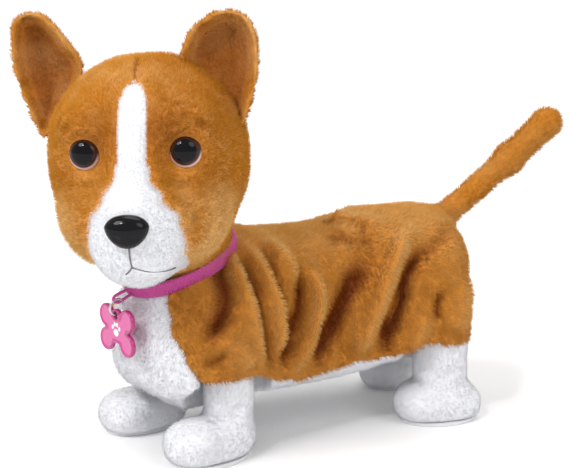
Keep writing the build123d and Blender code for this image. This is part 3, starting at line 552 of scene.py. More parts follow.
# ---------------- the body under its coat
AXIS_Z = 66.0  # above this the coat rounds over, below it hangs straight
ROUND = [(-108, 2.0), (-60, 2.6), (60, 2.6), (97, 3.0)]  # how boxy a section is, along the body
CHEST_S, CHEST_R = -72.0, 34.0
RUMP_S, RUMP_R = 73.0, 25.5
BACK = [(-106, 110), (-70, 113), (-36, 112.5), (-19, 108), (8, 107.5)]
BACK += [(29, 110.7), (46, 115), (82, 115), (97, 112)]
FLANK = [(-106, 46), (-84, 49), (-60, 49.5), (-25, 46), (10, 45.5), (45, 48.5), (70, 50), (97, 48)]
HEM = [(-110, 44.5), (-75, 44), (-59, 44.5), (-42, 38), (-26, 34.5), (4, 36)]
HEM += [(32, 40.5), (50, 42.5), (66, 48), (80, 45.5), (100, 43)]
BELLY = [(-110, 42), (-92, 30), (-80, 22), (-60, 23), (-42, 24.5), (-20, 24)]
BELLY += [(12, 24), (32, 26.5), (50, 30.5), (64, 36), (80, 36.5), (97, 40)]
BIB = [(20, 44), (43, 40.5), (57, 33.5), (72, 26), (88, 18), (100, 14)]  # the coat's front edge by height
BIB_MORE = 16.0  # how much wider the opening is high on the right
BIB_BACK = CHEST_S + 4  # behind this the coat is closed all the way round
COAT_OUT, COAT_IN, COAT_MORE = 2.4, 4.8, 2.6  # its faces' insets, and how much thicker it is higher up
CLOTH_ROUND = 1.5  # the coat's edges are rounded this much
UNDER_GAP, UNDER_STEP, UNDER_HOLLOW = 0.9, 5.0, 13.0  # how far inside the coat the underside stays
OPEN_BELOW = 400.0  # half height of a section that hangs straight
SHOULDER_R, SHOULDER_RISE = 36.0, 1.5  # the coat's slope up to the collar
SHOULDER_FROM, SHOULDER_BACK = -45.0, 2.2  # behind this it opens along the back
FLARE_R, CUFF_R = 15.0, 8.6  # the coat's sleeve round the tail, at its root and end
TAIL_ROOT = np.array([0, 82.0, 101.0])
TAIL_RISE = math.radians(39.1)
TAIL_WAY = np.array([0, math.cos(TAIL_RISE), math.sin(TAIL_RISE)])
COLLAR_MIDDLE = NECK_SEAT - np.cross(NECK_UP, (1, 0, 0)) * 2.5  # the band sits a little forwards
SEAT = FRONT.into(COLLAR_MIDDLE * MM)
COLLAR_X, COLLAR_Y = 27.5, 31.5


def trunk(p, inset):
    """The loose coat's outer form, drawn in by inset."""
    x, s, z = p.T
    wide = curve(s, FLANK) - inset
    tall = np.where(z > AXIS_Z, curve(s, BACK) - AXIS_Z - inset, OPEN_BELOW)
    over = np.maximum((CHEST_S - s) / (CHEST_R - inset), (s - RUMP_S) / (RUMP_R - inset)).clip(0)
    reach = np.maximum(CHEST_S - s, s - RUMP_S).clip(0)
    n = curve(s, ROUND)
    k = ((np.abs(x) / wide) ** n + (np.abs(z - AXIS_Z) / tall) ** n + over**n + 1e-9) ** (1 / n)
    form = (k - 1) * np.sqrt(x**2 + (z - AXIS_Z).clip(0) ** 2 + reach**2 + 0.01) / k
    below = (SEAT - p) @ NECK_UP
    off_axis = np.sqrt(np.maximum(((p - SEAT) ** 2).sum(1) - below**2 - x**2, 0))
    around = np.hypot(x / COLLAR_X, off_axis / COLLAR_Y)
    allowed = SHOULDER_R + SHOULDER_RISE * below + SHOULDER_BACK * (s - SHOULDER_FROM).clip(0)
    shoulder = (around * SHOULDER_R - allowed + inset) * 0.7
    form = common(form, shoulder, 9)
    root, cuff = TAIL_ROOT - TAIL_WAY * 14, TAIL_ROOT + TAIL_WAY * 12
    flare = cone(p, root, cuff, FLARE_R - inset, CUFF_R - inset)
    return join(form, flare, 9)


def bib_side(p):
    """Positive on the coat's side of its front edge."""
    more = BIB_MORE * ramp(p[:, 2], 56, 80) * (p[:, 0] < 0)
    return np.where(p[:, 1] < BIB_BACK, np.abs(p[:, 0]) - curve(p[:, 2], BIB) - more, 20)


def coat_field(p):
    """The coat as a closed shell with a rounded hem, open at the chest."""
    hem = curve(p[:, 1], HEM) - p[:, 2]
    shell = np.maximum(trunk(p, COAT_OUT), -trunk(p, COAT_IN + COAT_MORE * ramp(p[:, 2], 52, 66)))
    for edge in ((p - SEAT) @ NECK_UP + 1.0, hem, -bib_side(p)):
        shell = common(shell, edge, CLOTH_ROUND)
    return shell


def flank_point(s, z, side):
    """The coat's surface point at this place along and up."""
    low, high = 0.0, 60.0
    for _ in range(24):
        x = (low + high) / 2
        if trunk(np.array([[x, s, z]]), COAT_OUT)[0] < 0:
            low = x
        else:
            high = x
    return np.array([side * low, s, z])


def stroke(points, lines):
    """Summed raised or sunk strokes: each line is (height, width, [points])."""
    total = np.zeros(len(points))
    for height, width, route in lines:
        best = np.full(len(points), 1e9)
        share = np.zeros(len(points))
        spans = len(route) - 1
        for n in range(spans):
            t, gap = along_line(points, route[n], route[n + 1])
            near = gap < best
            best = np.where(near, gap, best)
            share = np.where(near, (n + t) / spans, share)
        fade = ramp(share, -0.02, 0.3) * ramp(1 - share, -0.02, 0.25)
        total += height * fade * bell(best, width)
    return total


def smooth_route(points, steps=6):
    """Points along a smooth curve through the given ones."""
    points = np.array(points, float)
    padded = np.concatenate([[2 * points[0] - points[1]], points, [2 * points[-1] - points[-2]]])
    made = []
    for n in range(1, len(padded) - 2):
        p0, p1, p2, p3 = padded[n - 1 : n + 3]
        square, cube = 2 * p0 - 5 * p1 + 4 * p2 - p3, 3 * p1 - p0 - 3 * p2 + p3
        for t in np.arange(steps) / steps:
            made.append(0.5 * (2 * p1 + (p2 - p0) * t + square * t**2 + cube * t**3))
    return np.array([*made, points[-1]])


# Folds of the loose coat: height, width, then places along and up the flank.
FOLDS = [
    (-3.4, 5.0, [(-47, 109), (-66, 101), (-72, 87), (-80, 75), (-90, 62)]),
    (3.4, 4.0, [(-52, 110), (-61, 93), (-61, 70), (-54, 45)]),
    (-3.8, 3.4, [(-54, 108), (-56, 90), (-55, 68), (-49, 46)]),
    (3.2, 4.0, [(-44, 109), (-47, 99), (-46, 86), (-44, 66), (-44, 52)]),
    (-3.0, 3.2, [(-40, 106), (-41, 90), (-39, 72), (-37, 56)]),
    (2.4, 3.4, [(-35, 107), (-32, 99), (-29, 88)]),
    (4.4, 4.2, [(-14, 93), (-12, 84), (-16, 71), (-24, 57), (-31, 46), (-35, 37)]),
    (-3.4, 4.8, [(-22, 98), (-26, 78), (-34, 58), (-42, 42)]),
    (-4.4, 7.0, [(38, 99), (22, 84), (6, 64), (-8, 50), (-17, 40)]),
    (4.0, 4.4, [(66, 110), (52, 101), (43, 87), (36, 70), (29, 53), (24, 42)]),
    (-3.6, 4.6, [(68, 102), (55, 92), (48, 76), (41, 60), (35, 46)]),
    (-2.4, 4.6, [(52, 82), (47, 68), (43, 52), (40, 42)]),
    (2.4, 4.0, [(64, 66), (58, 52), (55, 46)]),
    (-2.4, 2.6, [(71, 78), (69, 68), (69, 60)]),
    (-1.2, 5.0, [(8, 102), (22, 104), (40, 100)]),
    (2.0, 4.0, [(20, 109), (34, 109), (46, 108)]),
    (-1.3, 4.0, [(88, 106), (72, 102), (60, 94)]),
    (-1.6, 3.0, [(-90, 58), (-84, 56), (-76, 59), (-70, 56)]),
    (2.4, 5.0, [(-80, 60), (-70, 58), (-62, 50)]),
    (2.5, 6.0, [(86, 84), (84, 66), (80, 54)]),
    (-2.4, 4.0, [(94, 92), (92, 76), (90, 60)]),
]
FOLD_GAIN = 1.9  # how much stronger than listed the folds are


def coat_folds():
    """The folds as strokes on both flanks. The right flank's are a little different."""
    lines = []
    for n, (height, width, route) in enumerate(FOLDS):
        for side in (1, -1):
            shift = 0 if side > 0 else 3.5 * math.sin(2.3 * n + 1)
            turned = [flank_point(s + shift, z, side) for s, z in route]
            scale = 1 if side > 0 else 0.75 + 0.2 * math.sin(1.7 * n)
            lines.append((height * scale * FOLD_GAIN, width, smooth_route(turned, 3)))
    return lines


def row_bend(points):
    """Straight-body points in the row frame, in millimetres."""
    return FRONT.place(bend(points))


# ---------------- stage
SENSOR, LENS = 36.0, 87.28
CAMERA_AT, CAMERA_AIM = (576.2, -465.1, 261.5), (-3.4, -0.3, 101.5)
FLOOR_HALF = 40.0
SUNS = {  # the way each shines from, its strength and how wide it looks
    "key": ((0.0, -0.77, 0.86), 1.35, 26),
    "catchlight": ((0.25, -0.72, 0.8), 0.45, 4),
    "side": ((0.75, 0.1, 0.6), 0.6, 30),
    "top": ((-0.2, 0.3, 0.95), 0.85, 40),
}
SKY = 0.66


def make_camera():
    data = bpy.data.cameras.new("camera")
    data.sensor_width = SENSOR
    data.lens = LENS
    camera = add("camera", data)
    eye, aim = Vector(FRONT.out(CAMERA_AT)), Vector(FRONT.out(CAMERA_AIM))
    camera.location = eye
    camera.rotation_euler = (aim - eye).to_track_quat("-Z", "Y").to_euler()
    bpy.context.scene.camera = camera


def sun(name, way, strength, spread):
    """A soft far light that shines from the way given."""
    data = bpy.data.lights.new(name, "SUN")
    data.energy = strength
    data.angle = math.radians(spread)
    add(name, data).rotation_euler = Vector(way).to_track_quat("Z", "Y").to_euler()


def make_stage():
    world = bpy.data.worlds.new("world")
    world.use_nodes = True
    sky = world.node_tree.nodes["Background"]
    sky.inputs["Color"].default_value = (1, 1, 1, 1)
    sky.inputs["Strength"].default_value = SKY
    bpy.context.scene.world = world
    bpy.context.scene.view_settings.view_transform = "Standard"
    corners = np.array([(-1, -1, 0), (1, -1, 0), (1, 1, 0), (-1, 1, 0)]) * FLOOR_HALF
    floor = make_mesh("floor", corners, np.array([[0, 1, 2, 3]]), smooth=False)
    floor.data.materials.append(plain("pale floor", (0.93, 0.93, 0.93), 0.7))
    for name, look in SUNS.items():
        sun(name, *look)


# ---------------- coat
def make_coat():
    verts, quads = build(coat_field, (-56, -112, 28), (56, 108, 124), detail(1.6))
    relief = stroke(verts, coat_folds())
    relief *= 0.4 + 0.6 * ramp(verts[:, 2], 38, 58)
    relief += 0.35 * cast(verts, 3, 12)
    verts = verts + outward_of(lambda p: trunk(p, COAT_OUT), verts) * relief[:, None]
    skin = Skin(relax(verts, quads, 2), quads, row_bend)
    # The backing is darkened in the fold valleys: painted shade.
    painted_fold_shade = np.clip(-relief / 5, 0, 1)
    piece = skin.mesh("coat_plush", blend_tint(CARAMEL, CARAMEL_DEEP, painted_fold_shade * 0.9))
    relief_at = nearest_value(skin.local, relief)

    def outer(p):
        return trunk(p, (COAT_OUT + COAT_IN) / 2) - relief_at(p) > 0

    def tint(p):
        # Painted shade in the fold valleys and low on the coat, painted light on the ridges and on the top;
        # the rest is the caramel's own uneven tone.
        rise = relief_at(p)
        painted_fold_shade = np.clip(-rise / 5.5, 0, 1) ** 0.75
        high = np.clip(rise / 6, 0, 1)
        top = 0.3 * ramp(p[:, 2], 84, 110)
        light = (0.55 * high + 0.22 + top + 0.07 * cast(p, 5, 14)) * (1 - painted_fold_shade)
        colour = blend_tint(CARAMEL, CARAMEL_DEEP, painted_fold_shade * 0.95 + 0.2 * ramp(-p[:, 2], -74, -44))
        return blend_tint(colour, CARAMEL_LIGHT, light)

    def comb(p):
        return (0, 0.8, -0.7) + 0.12 * np.stack([0 * p[:, 0], cast(p, 8, 16), cast(p, 9, 16)], 1)

    parts = pile("coat_pile", skin, 1.7, everywhere(2.9), comb, tint, outer, ruffle=0.2)
    dress_plush(piece, parts, SKIN_LOOK)
    blend_waist([piece, *parts])
    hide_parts("coat_front", "coat_rear")


def blend_waist(pieces):
    """Bake each piece's placement into its mesh. The waist's two ends are found but not used."""
    start, end = FRONT.out((0, -BEND_HALF, 60)), REAR.out((0, BEND_HALF, 60))
    for each in pieces:
        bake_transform(each)
        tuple(start)
        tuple(end)


def nearest_value(points, values):
    """A lookup of the value at the nearest of the given points."""
    tree = KDTree(len(points))
    for n, point in enumerate(points):
        tree.insert(point, n)
    tree.balance()

    def look(p):
        return np.array([values[tree.find(q)[1]] for q in p])

    return look


# ---------------- white underside
LEG_X = 31.0
FRONT_LEG_S, REAR_LEG_S = -65.0, 79.0
LEG_ROOM, LEG_SWING = 15.5, 9.0  # the free radius round a leg, and how far its middle may move
UNDER_SPLIT = -44.0  # between the bib and the belly panel
BELLY_TOP = 58.0


def leg_slot(p, s):
    """Room for a leg and its swing."""
    swing = np.maximum(np.abs(p[:, 1] - s) - LEG_SWING, 0)
    return np.hypot(swing, np.abs(p[:, 0]) - LEG_X) - LEG_ROOM


def underside(p):
    """The white underside inside the coat, filling the open chest."""
    cover = ramp(bib_side(p), -1.5, 7)
    hollow = UNDER_HOLLOW * ramp(p[:, 2], 40, 56) * ramp(p[:, 1], -84, -62)
    skin = trunk(p, 0) + COAT_OUT + UNDER_GAP + cover * (UNDER_STEP + hollow)
    low = curve(p[:, 1], BELLY) + 0.004 * p[:, 0] ** 2 - p[:, 2]
    form = common(skin, low, 12)
    for s in (FRONT_LEG_S, REAR_LEG_S):
        form = common(form, -leg_slot(p, s), 3)
    return form


def underside_piece(name, node, field, low, high):
    verts, quads = build(field, low, high, detail(1.8))
    skin = raised(field, verts, quads, 0.5 * cast(verts, 11, 13), row_bend)
    piece = skin.mesh(name, everywhere(WHITE)(verts))

    def seen(p):
        return (p[:, 2] < 56) | ((p[:, 1] < CHEST_S) & (bib_side(p) < 2))

    comb = everywhere((0.0, 0.5, -1.0))
    parts = white_pile(f"{name}_pile", skin, 1.7, 1.5, comb, seen, 0.32)
    dress_plush(piece, parts, WHITE_SKIN_LOOK)
    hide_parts(node)
    return [piece, *parts]


def make_underside():
    front = underside_piece(
        "bib_plush",
        "chest_bib",
        lambda p: np.maximum(underside(p), p[:, 1] - UNDER_SPLIT),
        (-54, -110, 14),
        (54, UNDER_SPLIT + 4, 116),
    )
    for each in front:
        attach(each, "front_body")
    rear = underside_piece(
        "belly_plush",
        "belly_panel",
        lambda p: np.maximum(np.maximum(underside(p), UNDER_SPLIT + 1 - p[:, 1]), p[:, 2] - BELLY_TOP),
        (-54, UNDER_SPLIT - 4, 24),
        (54, 100, 62),
    )
    blend_waist(rear)


# ---------------- legs
LEG_HALF_X, LEG_TOP, FOOT_HALF, SOLE_TOP = 12.6, 53.0, 23.6, 1.6


def leg_field(p, x_middle, s_middle, long, foot_s):
    """A plush leg sleeve with its soft foot. long is the column's half size along."""
    x, s, z = (p - (x_middle, s_middle, 0)).T
    k = np.sqrt((x / LEG_HALF_X) ** 2 + (s / long) ** 2 + 1e-6)
    column = common((k - 1) * np.hypot(x, s) / k, np.maximum(z - LEG_TOP, 8 - z), 4)
    foot = egg(p, (x_middle, foot_s, 8.5), (15.6, FOOT_HALF, 13.5), 2.4)
    toe = egg(p, (x_middle, foot_s - FOOT_HALF + 12.5, 11), (15.0, 12.5, 10.5), 2.2)
    form = join(column, join(foot, toe, 4), 5)
    return common(form, SOLE_TOP - z, 3)


def make_leg(name, axes, side, long, lean):
    foot_s = axes.into(middle(name.replace("_leg", "_sole")))[1]
    x = side * LEG_X
    low = (x - 20, min(foot_s - 28, lean - long - 3), -2)
    high = (x + 20, max(foot_s + 28, lean + long + 3), 68)

    def field(p):
        return leg_field(p, x, lean, long, foot_s)

    verts, quads = build(field, low, high, detail(1.4))
    front = lean - long
    ankle = [(x + side * 13, front, 30), (x + side * 8, front, 24), (x - 8, front, 22)]
    outside = [(x + side * 13, lean + 4, 31), (x + side * 12, lean - 8, 26)]
    creases = [(-1.6, 2.2, smooth_route(ankle, 4)), (-1.3, 2.6, smooth_route(outside, 4))]
    relief = 0.3 * cast(verts, 20 + len(name) + (side > 0), 10) + stroke(verts, creases)
    skin = raised(field, verts, quads, relief * ramp(verts[:, 2], 2, 8), axes.place)
    piece = skin.mesh(f"{name}_sleeve", everywhere(WHITE)(verts))

    def seen(p):
        return (p[:, 2] < 56) & (p[:, 2] > 2.5)

    comb = everywhere((0.0, -0.25, -1.0))
    parts = white_pile(f"{name}_pile", skin, 2.0, 1.3, comb, seen)
    dress_plush(piece, parts, WHITE_SKIN_LOOK)
    for each in [piece, *parts]:
        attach(each, name)
    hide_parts(f"{name}_plush")


# ---------------- tail
TAIL_LONG, TAIL_ELBOW = 97.0, 60.0
TAIL_RADII = (5.2, 6.6, 7.6)  # at the root, the elbow and the tip


def make_tail():
    root_r, elbow_r, tip_r = TAIL_RADII
    elbow = TAIL_ROOT + TAIL_WAY * TAIL_ELBOW
    tip = TAIL_ROOT + TAIL_WAY * (TAIL_LONG - 8.5) + (0, 0, 1.5)

    def field(p):
        first = cone(p, TAIL_ROOT - TAIL_WAY * 6, elbow, root_r, elbow_r)
        return join(first, cone(p, elbow, tip, elbow_r, tip_r), 6)

    verts, quads = build(field, (-12, 66, 84), (12, 170, 176), detail(1.3))
    over = np.cross(TAIL_WAY, (1, 0, 0))
    ridge = np.array([TAIL_ROOT + TAIL_WAY * t + over * (-7.0) for t in (40, 60, 80, 96)])
    relief = 0.3 * cast(verts, 31, 12) + stroke(verts, [(-1.0, 1.2, ridge)])
    skin = raised(field, verts, quads, relief, REAR.place)
    piece = skin.mesh("tail_sleeve", everywhere(CARAMEL)(verts))

    def tint(p):
        colour = blend_tint(CARAMEL, CARAMEL_LIGHT, 0.25 + 0.25 * cast(p, 33, 10))
        seam = bell(np.abs(stroke(p, [(1, 1.6, ridge)]) - 1), 0.35)
        return blend_tint(colour, CARAMEL_DEEP, 0.8 * seam)

    parts = pile("tail_pile", skin, CARAMEL_DENSITY, everywhere(2.8), everywhere(TAIL_WAY), tint)
    dress_plush(piece, parts, SKIN_LOOK)
    start, end = (REAR.out(TAIL_ROOT + TAIL_WAY * t) for t in (2, 20))
    for each in [piece, *parts]:
        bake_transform(each)
        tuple(start)
        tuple(end)
    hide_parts("tail_plush")


# ---------------- head
EYE = HEAD.into(middle("eye_left"))
EYE[1] = -39.0
EYE_R = 7.6
NOSE = np.array([0, -69.5, -16.0])
NOSE_ROOM = (10.5, 7, 7.6)  # no pile grows in this egg round the nose
NECK = HEAD.into(NECK_SEAT * MM)
BLAZE_TOP = 48.5
BLAZE = [(-62, 15), (-48, 17.5), (-38, 21.5), (-26, 23.6), (-14, 21.5), (-4, 14.5)]  # half width by height
BLAZE += [(5, 9), (15, 6.8), (30, 6.8), (41, 6.2), (46, 4.2), (BLAZE_TOP, 0)]
HEAD_LUMPS = [  # centre, radii, squareness and how softly each joins: back, jaw, cheeks, muzzle and chin
    ((0, 1, 0), (44.6, 44.6, 44.6), 2.0, 6),
    ((0, -14, -19), (33.5, 33, 27), 2.0, 14),
    ((19, -26, -17), (20, 20, 20), 2.0, 12),
    ((0, -42, -22.5), (23.5, 25, 22.5), 2.25, 7),
    ((0, -38, -35), (17, 21, 13), 2.0, 6),
]
SOCKET_R, SOCKET_OUT = 11.5, 10.5
NECK_CUT = HEAD_HEIGHT + 4


def white_side(p):
    """Negative inside the white blaze and muzzle."""
    across = np.abs(p[:, 0]) - curve(p[:, 2], BLAZE)
    return np.maximum(across, np.maximum(p[:, 1] + 18, (p[:, 2] - BLAZE_TOP) * 0.7))


def head_field(p):
    """The stuffed head: skull, cheeks, muzzle, brows and chin, with a socket round each eye."""
    q = mirrored(p)
    form = egg(q, (0, -2, 10), (48.6, 45.5, 48.5), 2.05)
    for centre, radii, power, soft in HEAD_LUMPS:
        form = join(form, egg(q, centre, radii, power), soft)
    form = join(form, cone(q, (0, -33, 12), (0, -54, -10), 12, 11), 10)
    form = join(form, egg(q, (23, -33, 29), (13, 10, 8)), 10)
    form = join(form, cone(p, NECK * 0.45, NECK, 27, 26.6), 8)
    form = common(form, p @ unit(NECK) - NECK_CUT, 2)
    socket = distance(q, (EYE[0], EYE[1] - SOCKET_OUT, EYE[2])) - SOCKET_R
    return common(form, -socket, 4)


BROW = [(-13, 2), (-8, 11.5), (2, 14), (12, 10.5), (19, 3)]  # sideways and up from the eye
UNDER_EYE = [(-11, -10), (-2, -14.5), (9, -13)]


def head_lines():
    """Brow folds, the forehead seam and creases under the eyes."""
    lines = [(-1.5, 1.3, smooth_route([(0, -22, 60), (0, -32, 55), (0, -38, 48)], 4))]
    for side in (1, -1):
        brow = [(side * (EYE[0] + x), -40, EYE[2] + z) for x, z in BROW]
        lines.append((-2.6, 2.0, smooth_route(brow, 4)))
        lines.append((2.0, 3.4, smooth_route([(x, y, z + 6) for x, y, z in brow], 4)))
        under = [(side * (EYE[0] + x), -44, EYE[2] + z) for x, z in UNDER_EYE]
        lines.append((-1.5, 2.2, smooth_route(under, 4)))
    return lines


MOUTH = [
    [(0, -66, -24), (0, -66, -29), (0.3, -65, -34.5)],
    [(0.3, -65, -34.5), (7.5, -62, -36.9), (15, -57, -38.9), (21, -49, -40.8)],
    [(0.3, -65, -34.5), (-1.5, -64, -37), (-3.4, -63, -38.8)],
]
THREAD_R = 0.42


def on_surface(field, points):
    """Points pulled onto a field's surface."""
    points = np.array(points, float)
    for _ in range(12):
        g = slope(field, points)
        points = points - (field(points) / np.maximum((g * g).sum(1), 0.05))[:, None] * g
    return points


def head_caramel(p):
    """The caramel of the head: darker inside the brows and on the face's left side as painted shade, lighter
    on the crown as painted light, and paler beside the muzzle.
    """
    # Painted shade round the eye sockets and on the left of the face.
    painted_shade = 0.75 * spot(mirrored(p), (13, -42, 24), 15) + 0.3 * spot(mirrored(p), (33, -34, 2), 12)
    painted_shade = painted_shade + 0.3 * ramp(p[:, 0], -4, 16) * ramp(p[:, 2], 12, 34)
    from_muzzle = np.linalg.norm((p - (0, -40, -14)) * (0.8, 1, 1), axis=1)
    # Painted light on the crown, stronger on the right.
    painted_crown_light = ramp(p[:, 2], 34, 54)
    light = 1.0 * bell(from_muzzle - 33, 9) * ramp(-p[:, 2], -4, 12)
    light = light + 0.25 * painted_crown_light * ramp(-p[:, 0], -20, 20) + 0.1 * painted_crown_light + 0.14 * cast(p, 42, 10)
    light = light + 0.12 * cast(p, 45, 4)
    colour = blend_tint(CARAMEL, CARAMEL_LIGHT, light * (1 - painted_shade))
    colour = blend_tint(colour, CARAMEL_DEEP, 0.55 * painted_shade)
    seam = bell(p[:, 0], 0.9) * (p[:, 1] < -14) * (p[:, 2] > 46)
    return blend_tint(colour, CARAMEL_DEEP, 0.75 * seam)


def make_head():
    verts, quads = build(head_field, (-56, -76, -66), (56, 50, 66), detail(1.7))
    relief = stroke(verts, head_lines()) + 0.45 * cast(verts, 41, 13)
    relief -= 0.9 * bell(white_side(verts), 1.5) * (verts[:, 1] < -22)
    skin = raised(head_field, verts, quads, relief, HEAD.place)
    mouth = [smooth_route(on_surface(head_field, line), 6) for line in MOUTH]
    stitches = np.concatenate(mouth)
    caramel_share = np.clip(white_side(verts) * 2 + 0.5, 0, 1)[:, None]
    piece = skin.mesh("head_sleeve", WHITE + (head_caramel(verts) - WHITE) * caramel_share)

    def comb(p):
        swirl = np.stack([cast(p, 43, 14), 0 * p[:, 0], cast(p, 44, 14)], 1)
        return units(p - (0, -70, -14)) + 0.3 * swirl

    def clear(p):
        """Where pile may grow: off the eyes, the nose and the mouth's thread."""
        eye = distance(mirrored(p), (EYE[0], EYE[1] - 3, EYE[2])) > EYE_R + 1.0
        nose = np.linalg.norm((p - NOSE) / NOSE_ROOM, axis=1) > 1
        thread = np.min([distance(p, q) for q in stitches], 0) > 1.0
        return eye & nose & thread

    def size(p):
        short = 0.55 + 0.45 * ramp(distance(mirrored(p), EYE), 9, 18)
        return 3.0 * short * (0.4 + 0.6 * ramp(white_side(p), 0, 3.5))

    def brown(p):
        return (white_side(p) > 0) & clear(p) & (p[:, 2] > -62)

    def white(p):
        return (white_side(p) <= 0.3) & clear(p)

    parts = pile("head_pile", skin, CARAMEL_DENSITY, size, comb, head_caramel, brown)
    dress_plush(piece, parts, SKIN_LOOK)
    face = white_pile("face_pile", skin, 2.2, 1.25, comb, white)
    for part in face:
        dress(part, PILE_LOOK)
    thread_look = plain("mouth thread", (0.16, 0.15, 0.17), 0.7, Sheen_Weight=0.2)
    threads = [tube(f"mouth_stitch_{n + 1}", HEAD.out(line), THREAD_R * MM) for n, line in enumerate(mouth)]
    for each in threads:
        dress(each, thread_look)
    for each in [piece, *parts, *face, *threads]:
        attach(each, "head")
    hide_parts("head_plush", "muzzle_plush")


def ring_quads(rows, turns):
    """Quads between neighbouring rings of points."""
    n = np.arange(rows - 1)[:, None] * turns
    k = np.arange(turns)[None]
    k2 = (k + 1) % turns
    return np.stack([n + k, n + k2, n + turns + k2, n + turns + k], -1).reshape(-1, 4)


def closed_rings(name, verts, turns):
    """A closed form of rings. Fans join the first and last ring to the last two points."""
    count = len(verts)
    piece = make_mesh(name, verts, ring_quads((count - 2) // turns, turns))
    made = bmesh.new()
    made.from_mesh(piece.data)
    made.verts.ensure_lookup_table()
    last = count - 2 - turns
    for a in range(turns):
        b = (a + 1) % turns
        made.faces.new([made.verts[b], made.verts[a], made.verts[count - 2]])
        made.faces.new([made.verts[last + a], made.verts[last + b], made.verts[count - 1]])
    bmesh.ops.recalc_face_normals(made, faces=made.faces)
    made.to_mesh(piece.data)
    made.free()
    piece.data.shade_smooth()
    return piece


def tube(name, route, radius, sides=8):
    """A closed round tube along row-frame points in metres."""
    ahead = units(np.gradient(route, axis=0))
    side = units(np.cross(ahead, (0.31, 0.2, 0.93)))
    up = np.cross(side, ahead)
    turn = circle(sides)
    ring = np.cos(turn)[None, :, None] * side[:, None] + np.sin(turn)[None, :, None] * up[:, None]
    rings = route[:, None] + radius * ring
    return closed_rings(name, np.concatenate([rings.reshape(-1, 3), route[:1], route[-1:]]), sides)


def lathe(name, profile, centre, way, turns=64):
    """A turned form in row metres. profile is (radius, height) in millimetres, its ends on the axis."""
    way = unit(way)
    side = unit(np.cross(way, (0.1, 0.2, 1)))
    other = np.cross(way, side)
    turn = circle(turns)
    ring = np.cos(turn)[:, None] * side + np.sin(turn)[:, None] * other
    rings = [centre + (r * ring + h * way) * MM for r, h in profile[1:-1]]
    ends = [[centre + height * way * MM] for height in (profile[0][1], profile[-1][1])]
    return closed_rings(name, np.concatenate([*rings, *ends]), turns)


# ---------------- ears
LEFT_EAR = [(22, 42), (17, 56), (23, 71), (32, 78), (41, 80.5), (49, 79)]  # the outline, outwards and up
LEFT_EAR += [(54.5, 74), (58, 65), (58, 52), (56, 40), (47.5, 20), (36, 26)]
RIGHT_EAR = [(30, 42), (29, 56), (36, 67), (43, 76), (49, 81), (56, 82.5), (62, 80.5)]
RIGHT_EAR += [(66, 75), (67.3, 64), (66, 50), (60, 32), (53, 18), (42, 26)]
EAR_CUP, EAR_HALF, EAR_SEAM = 12.0, 1.5, 5.6  # hollow, half thickness, and the seam's way in


def outline_gap(points, outline):
    """Signed distance in a plane to a closed outline, negative inside."""
    best = np.full(len(points), 1e9)
    inside = np.zeros(len(points), bool)
    for a, b in zip(outline, np.roll(outline, -1, 0)):
        best = np.minimum(best, along_line(points, a, b)[1])
        crosses = (a[1] > points[:, 1]) != (b[1] > points[:, 1])
        height = np.where(abs(b[1] - a[1]) > 1e-9, b[1] - a[1], 1e-9)
        inside ^= crosses & (points[:, 0] < (b[0] - a[0]) * (points[:, 1] - a[1]) / height + a[0])
    return np.where(inside, -best, best)


def make_ear(name, side, edge):
    outline = smooth_route([*edge, edge[0]], 5)[:-1]

    def leaf(p):
        """How far the ear's middle sheet lies back at each place, and the gap to its outline."""
        flat = p[:, [0, 2]] * (side, 1)
        gap = outline_gap(flat, outline)
        cup = EAR_CUP * ramp(-gap, 0, 17)
        return -3.0 + cup + 0.06 * (flat[:, 1] - 50), gap

    def field(p):
        back, gap = leaf(p)
        rim = 0.9 * bell(gap + 2.6, 2.2)
        return common(np.abs(p[:, 1] - back) - EAR_HALF - rim, gap + 1.5, 2.5)

    low = (min(side * 12, side * 72), -14, 10)
    high = (max(side * 12, side * 72), 22, 90)
    verts, quads = build(field, low, high, detail(1.3))
    back, gap = leaf(verts)
    seam = -0.4 * bell(gap + EAR_SEAM, 1.8) * (verts[:, 1] < back)
    skin = raised(field, verts, quads, seam + 0.5 * cast(verts, 51 + side, 10), HEAD.place)

    def tint(p):
        back, gap = leaf(p)
        # The hollow inside the ear is darkened: painted shade.
        painted_cup_shade = ramp(-gap, 4.5, 9) * (p[:, 1] < back)
        colour = blend_tint(CARAMEL, CARAMEL_LIGHT, 0.15 + 0.2 * cast(p, 55 + side, 12))
        colour = blend_tint(colour, CARAMEL_DEEP, 0.62 * painted_cup_shade)
        return blend_tint(colour, CARAMEL_DEEP, 0.3 * bell(gap + EAR_SEAM, 1.2) * (p[:, 1] < back))

    piece = skin.mesh(f"{name}_leaf", tint(verts))

    def size(p):
        back, gap = leaf(p)
        return np.where((p[:, 1] < back) & (gap < -5), 1.3, 2.4)

    comb = everywhere((side * 0.35, 0.2, 1.0))
    parts = pile(f"{name}_pile", skin, CARAMEL_DENSITY, size, comb, tint)
    dress_plush(piece, parts, SKIN_LOOK)
    for each in [piece, *parts]:
        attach(each, "head")
    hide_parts(name)


# ---------------- eyes and nose
EYE_LOOK = tinted("moulded eye", 0.04, 300, 0.03, 0, Specular_IOR_Level=0.2)
GLOSS_BLACK = plain("glossy black nose", (0.004, 0.004, 0.005), 0.1, Specular_IOR_Level=0.2)


EYE_BULGE, EYE_BACK = 4.9, -3.0
PUPIL, IRIS, EYE_RIM = np.array([(0.002, 0.002, 0.003), (0.05, 0.018, 0.012), (0.62, 0.46, 0.45)])


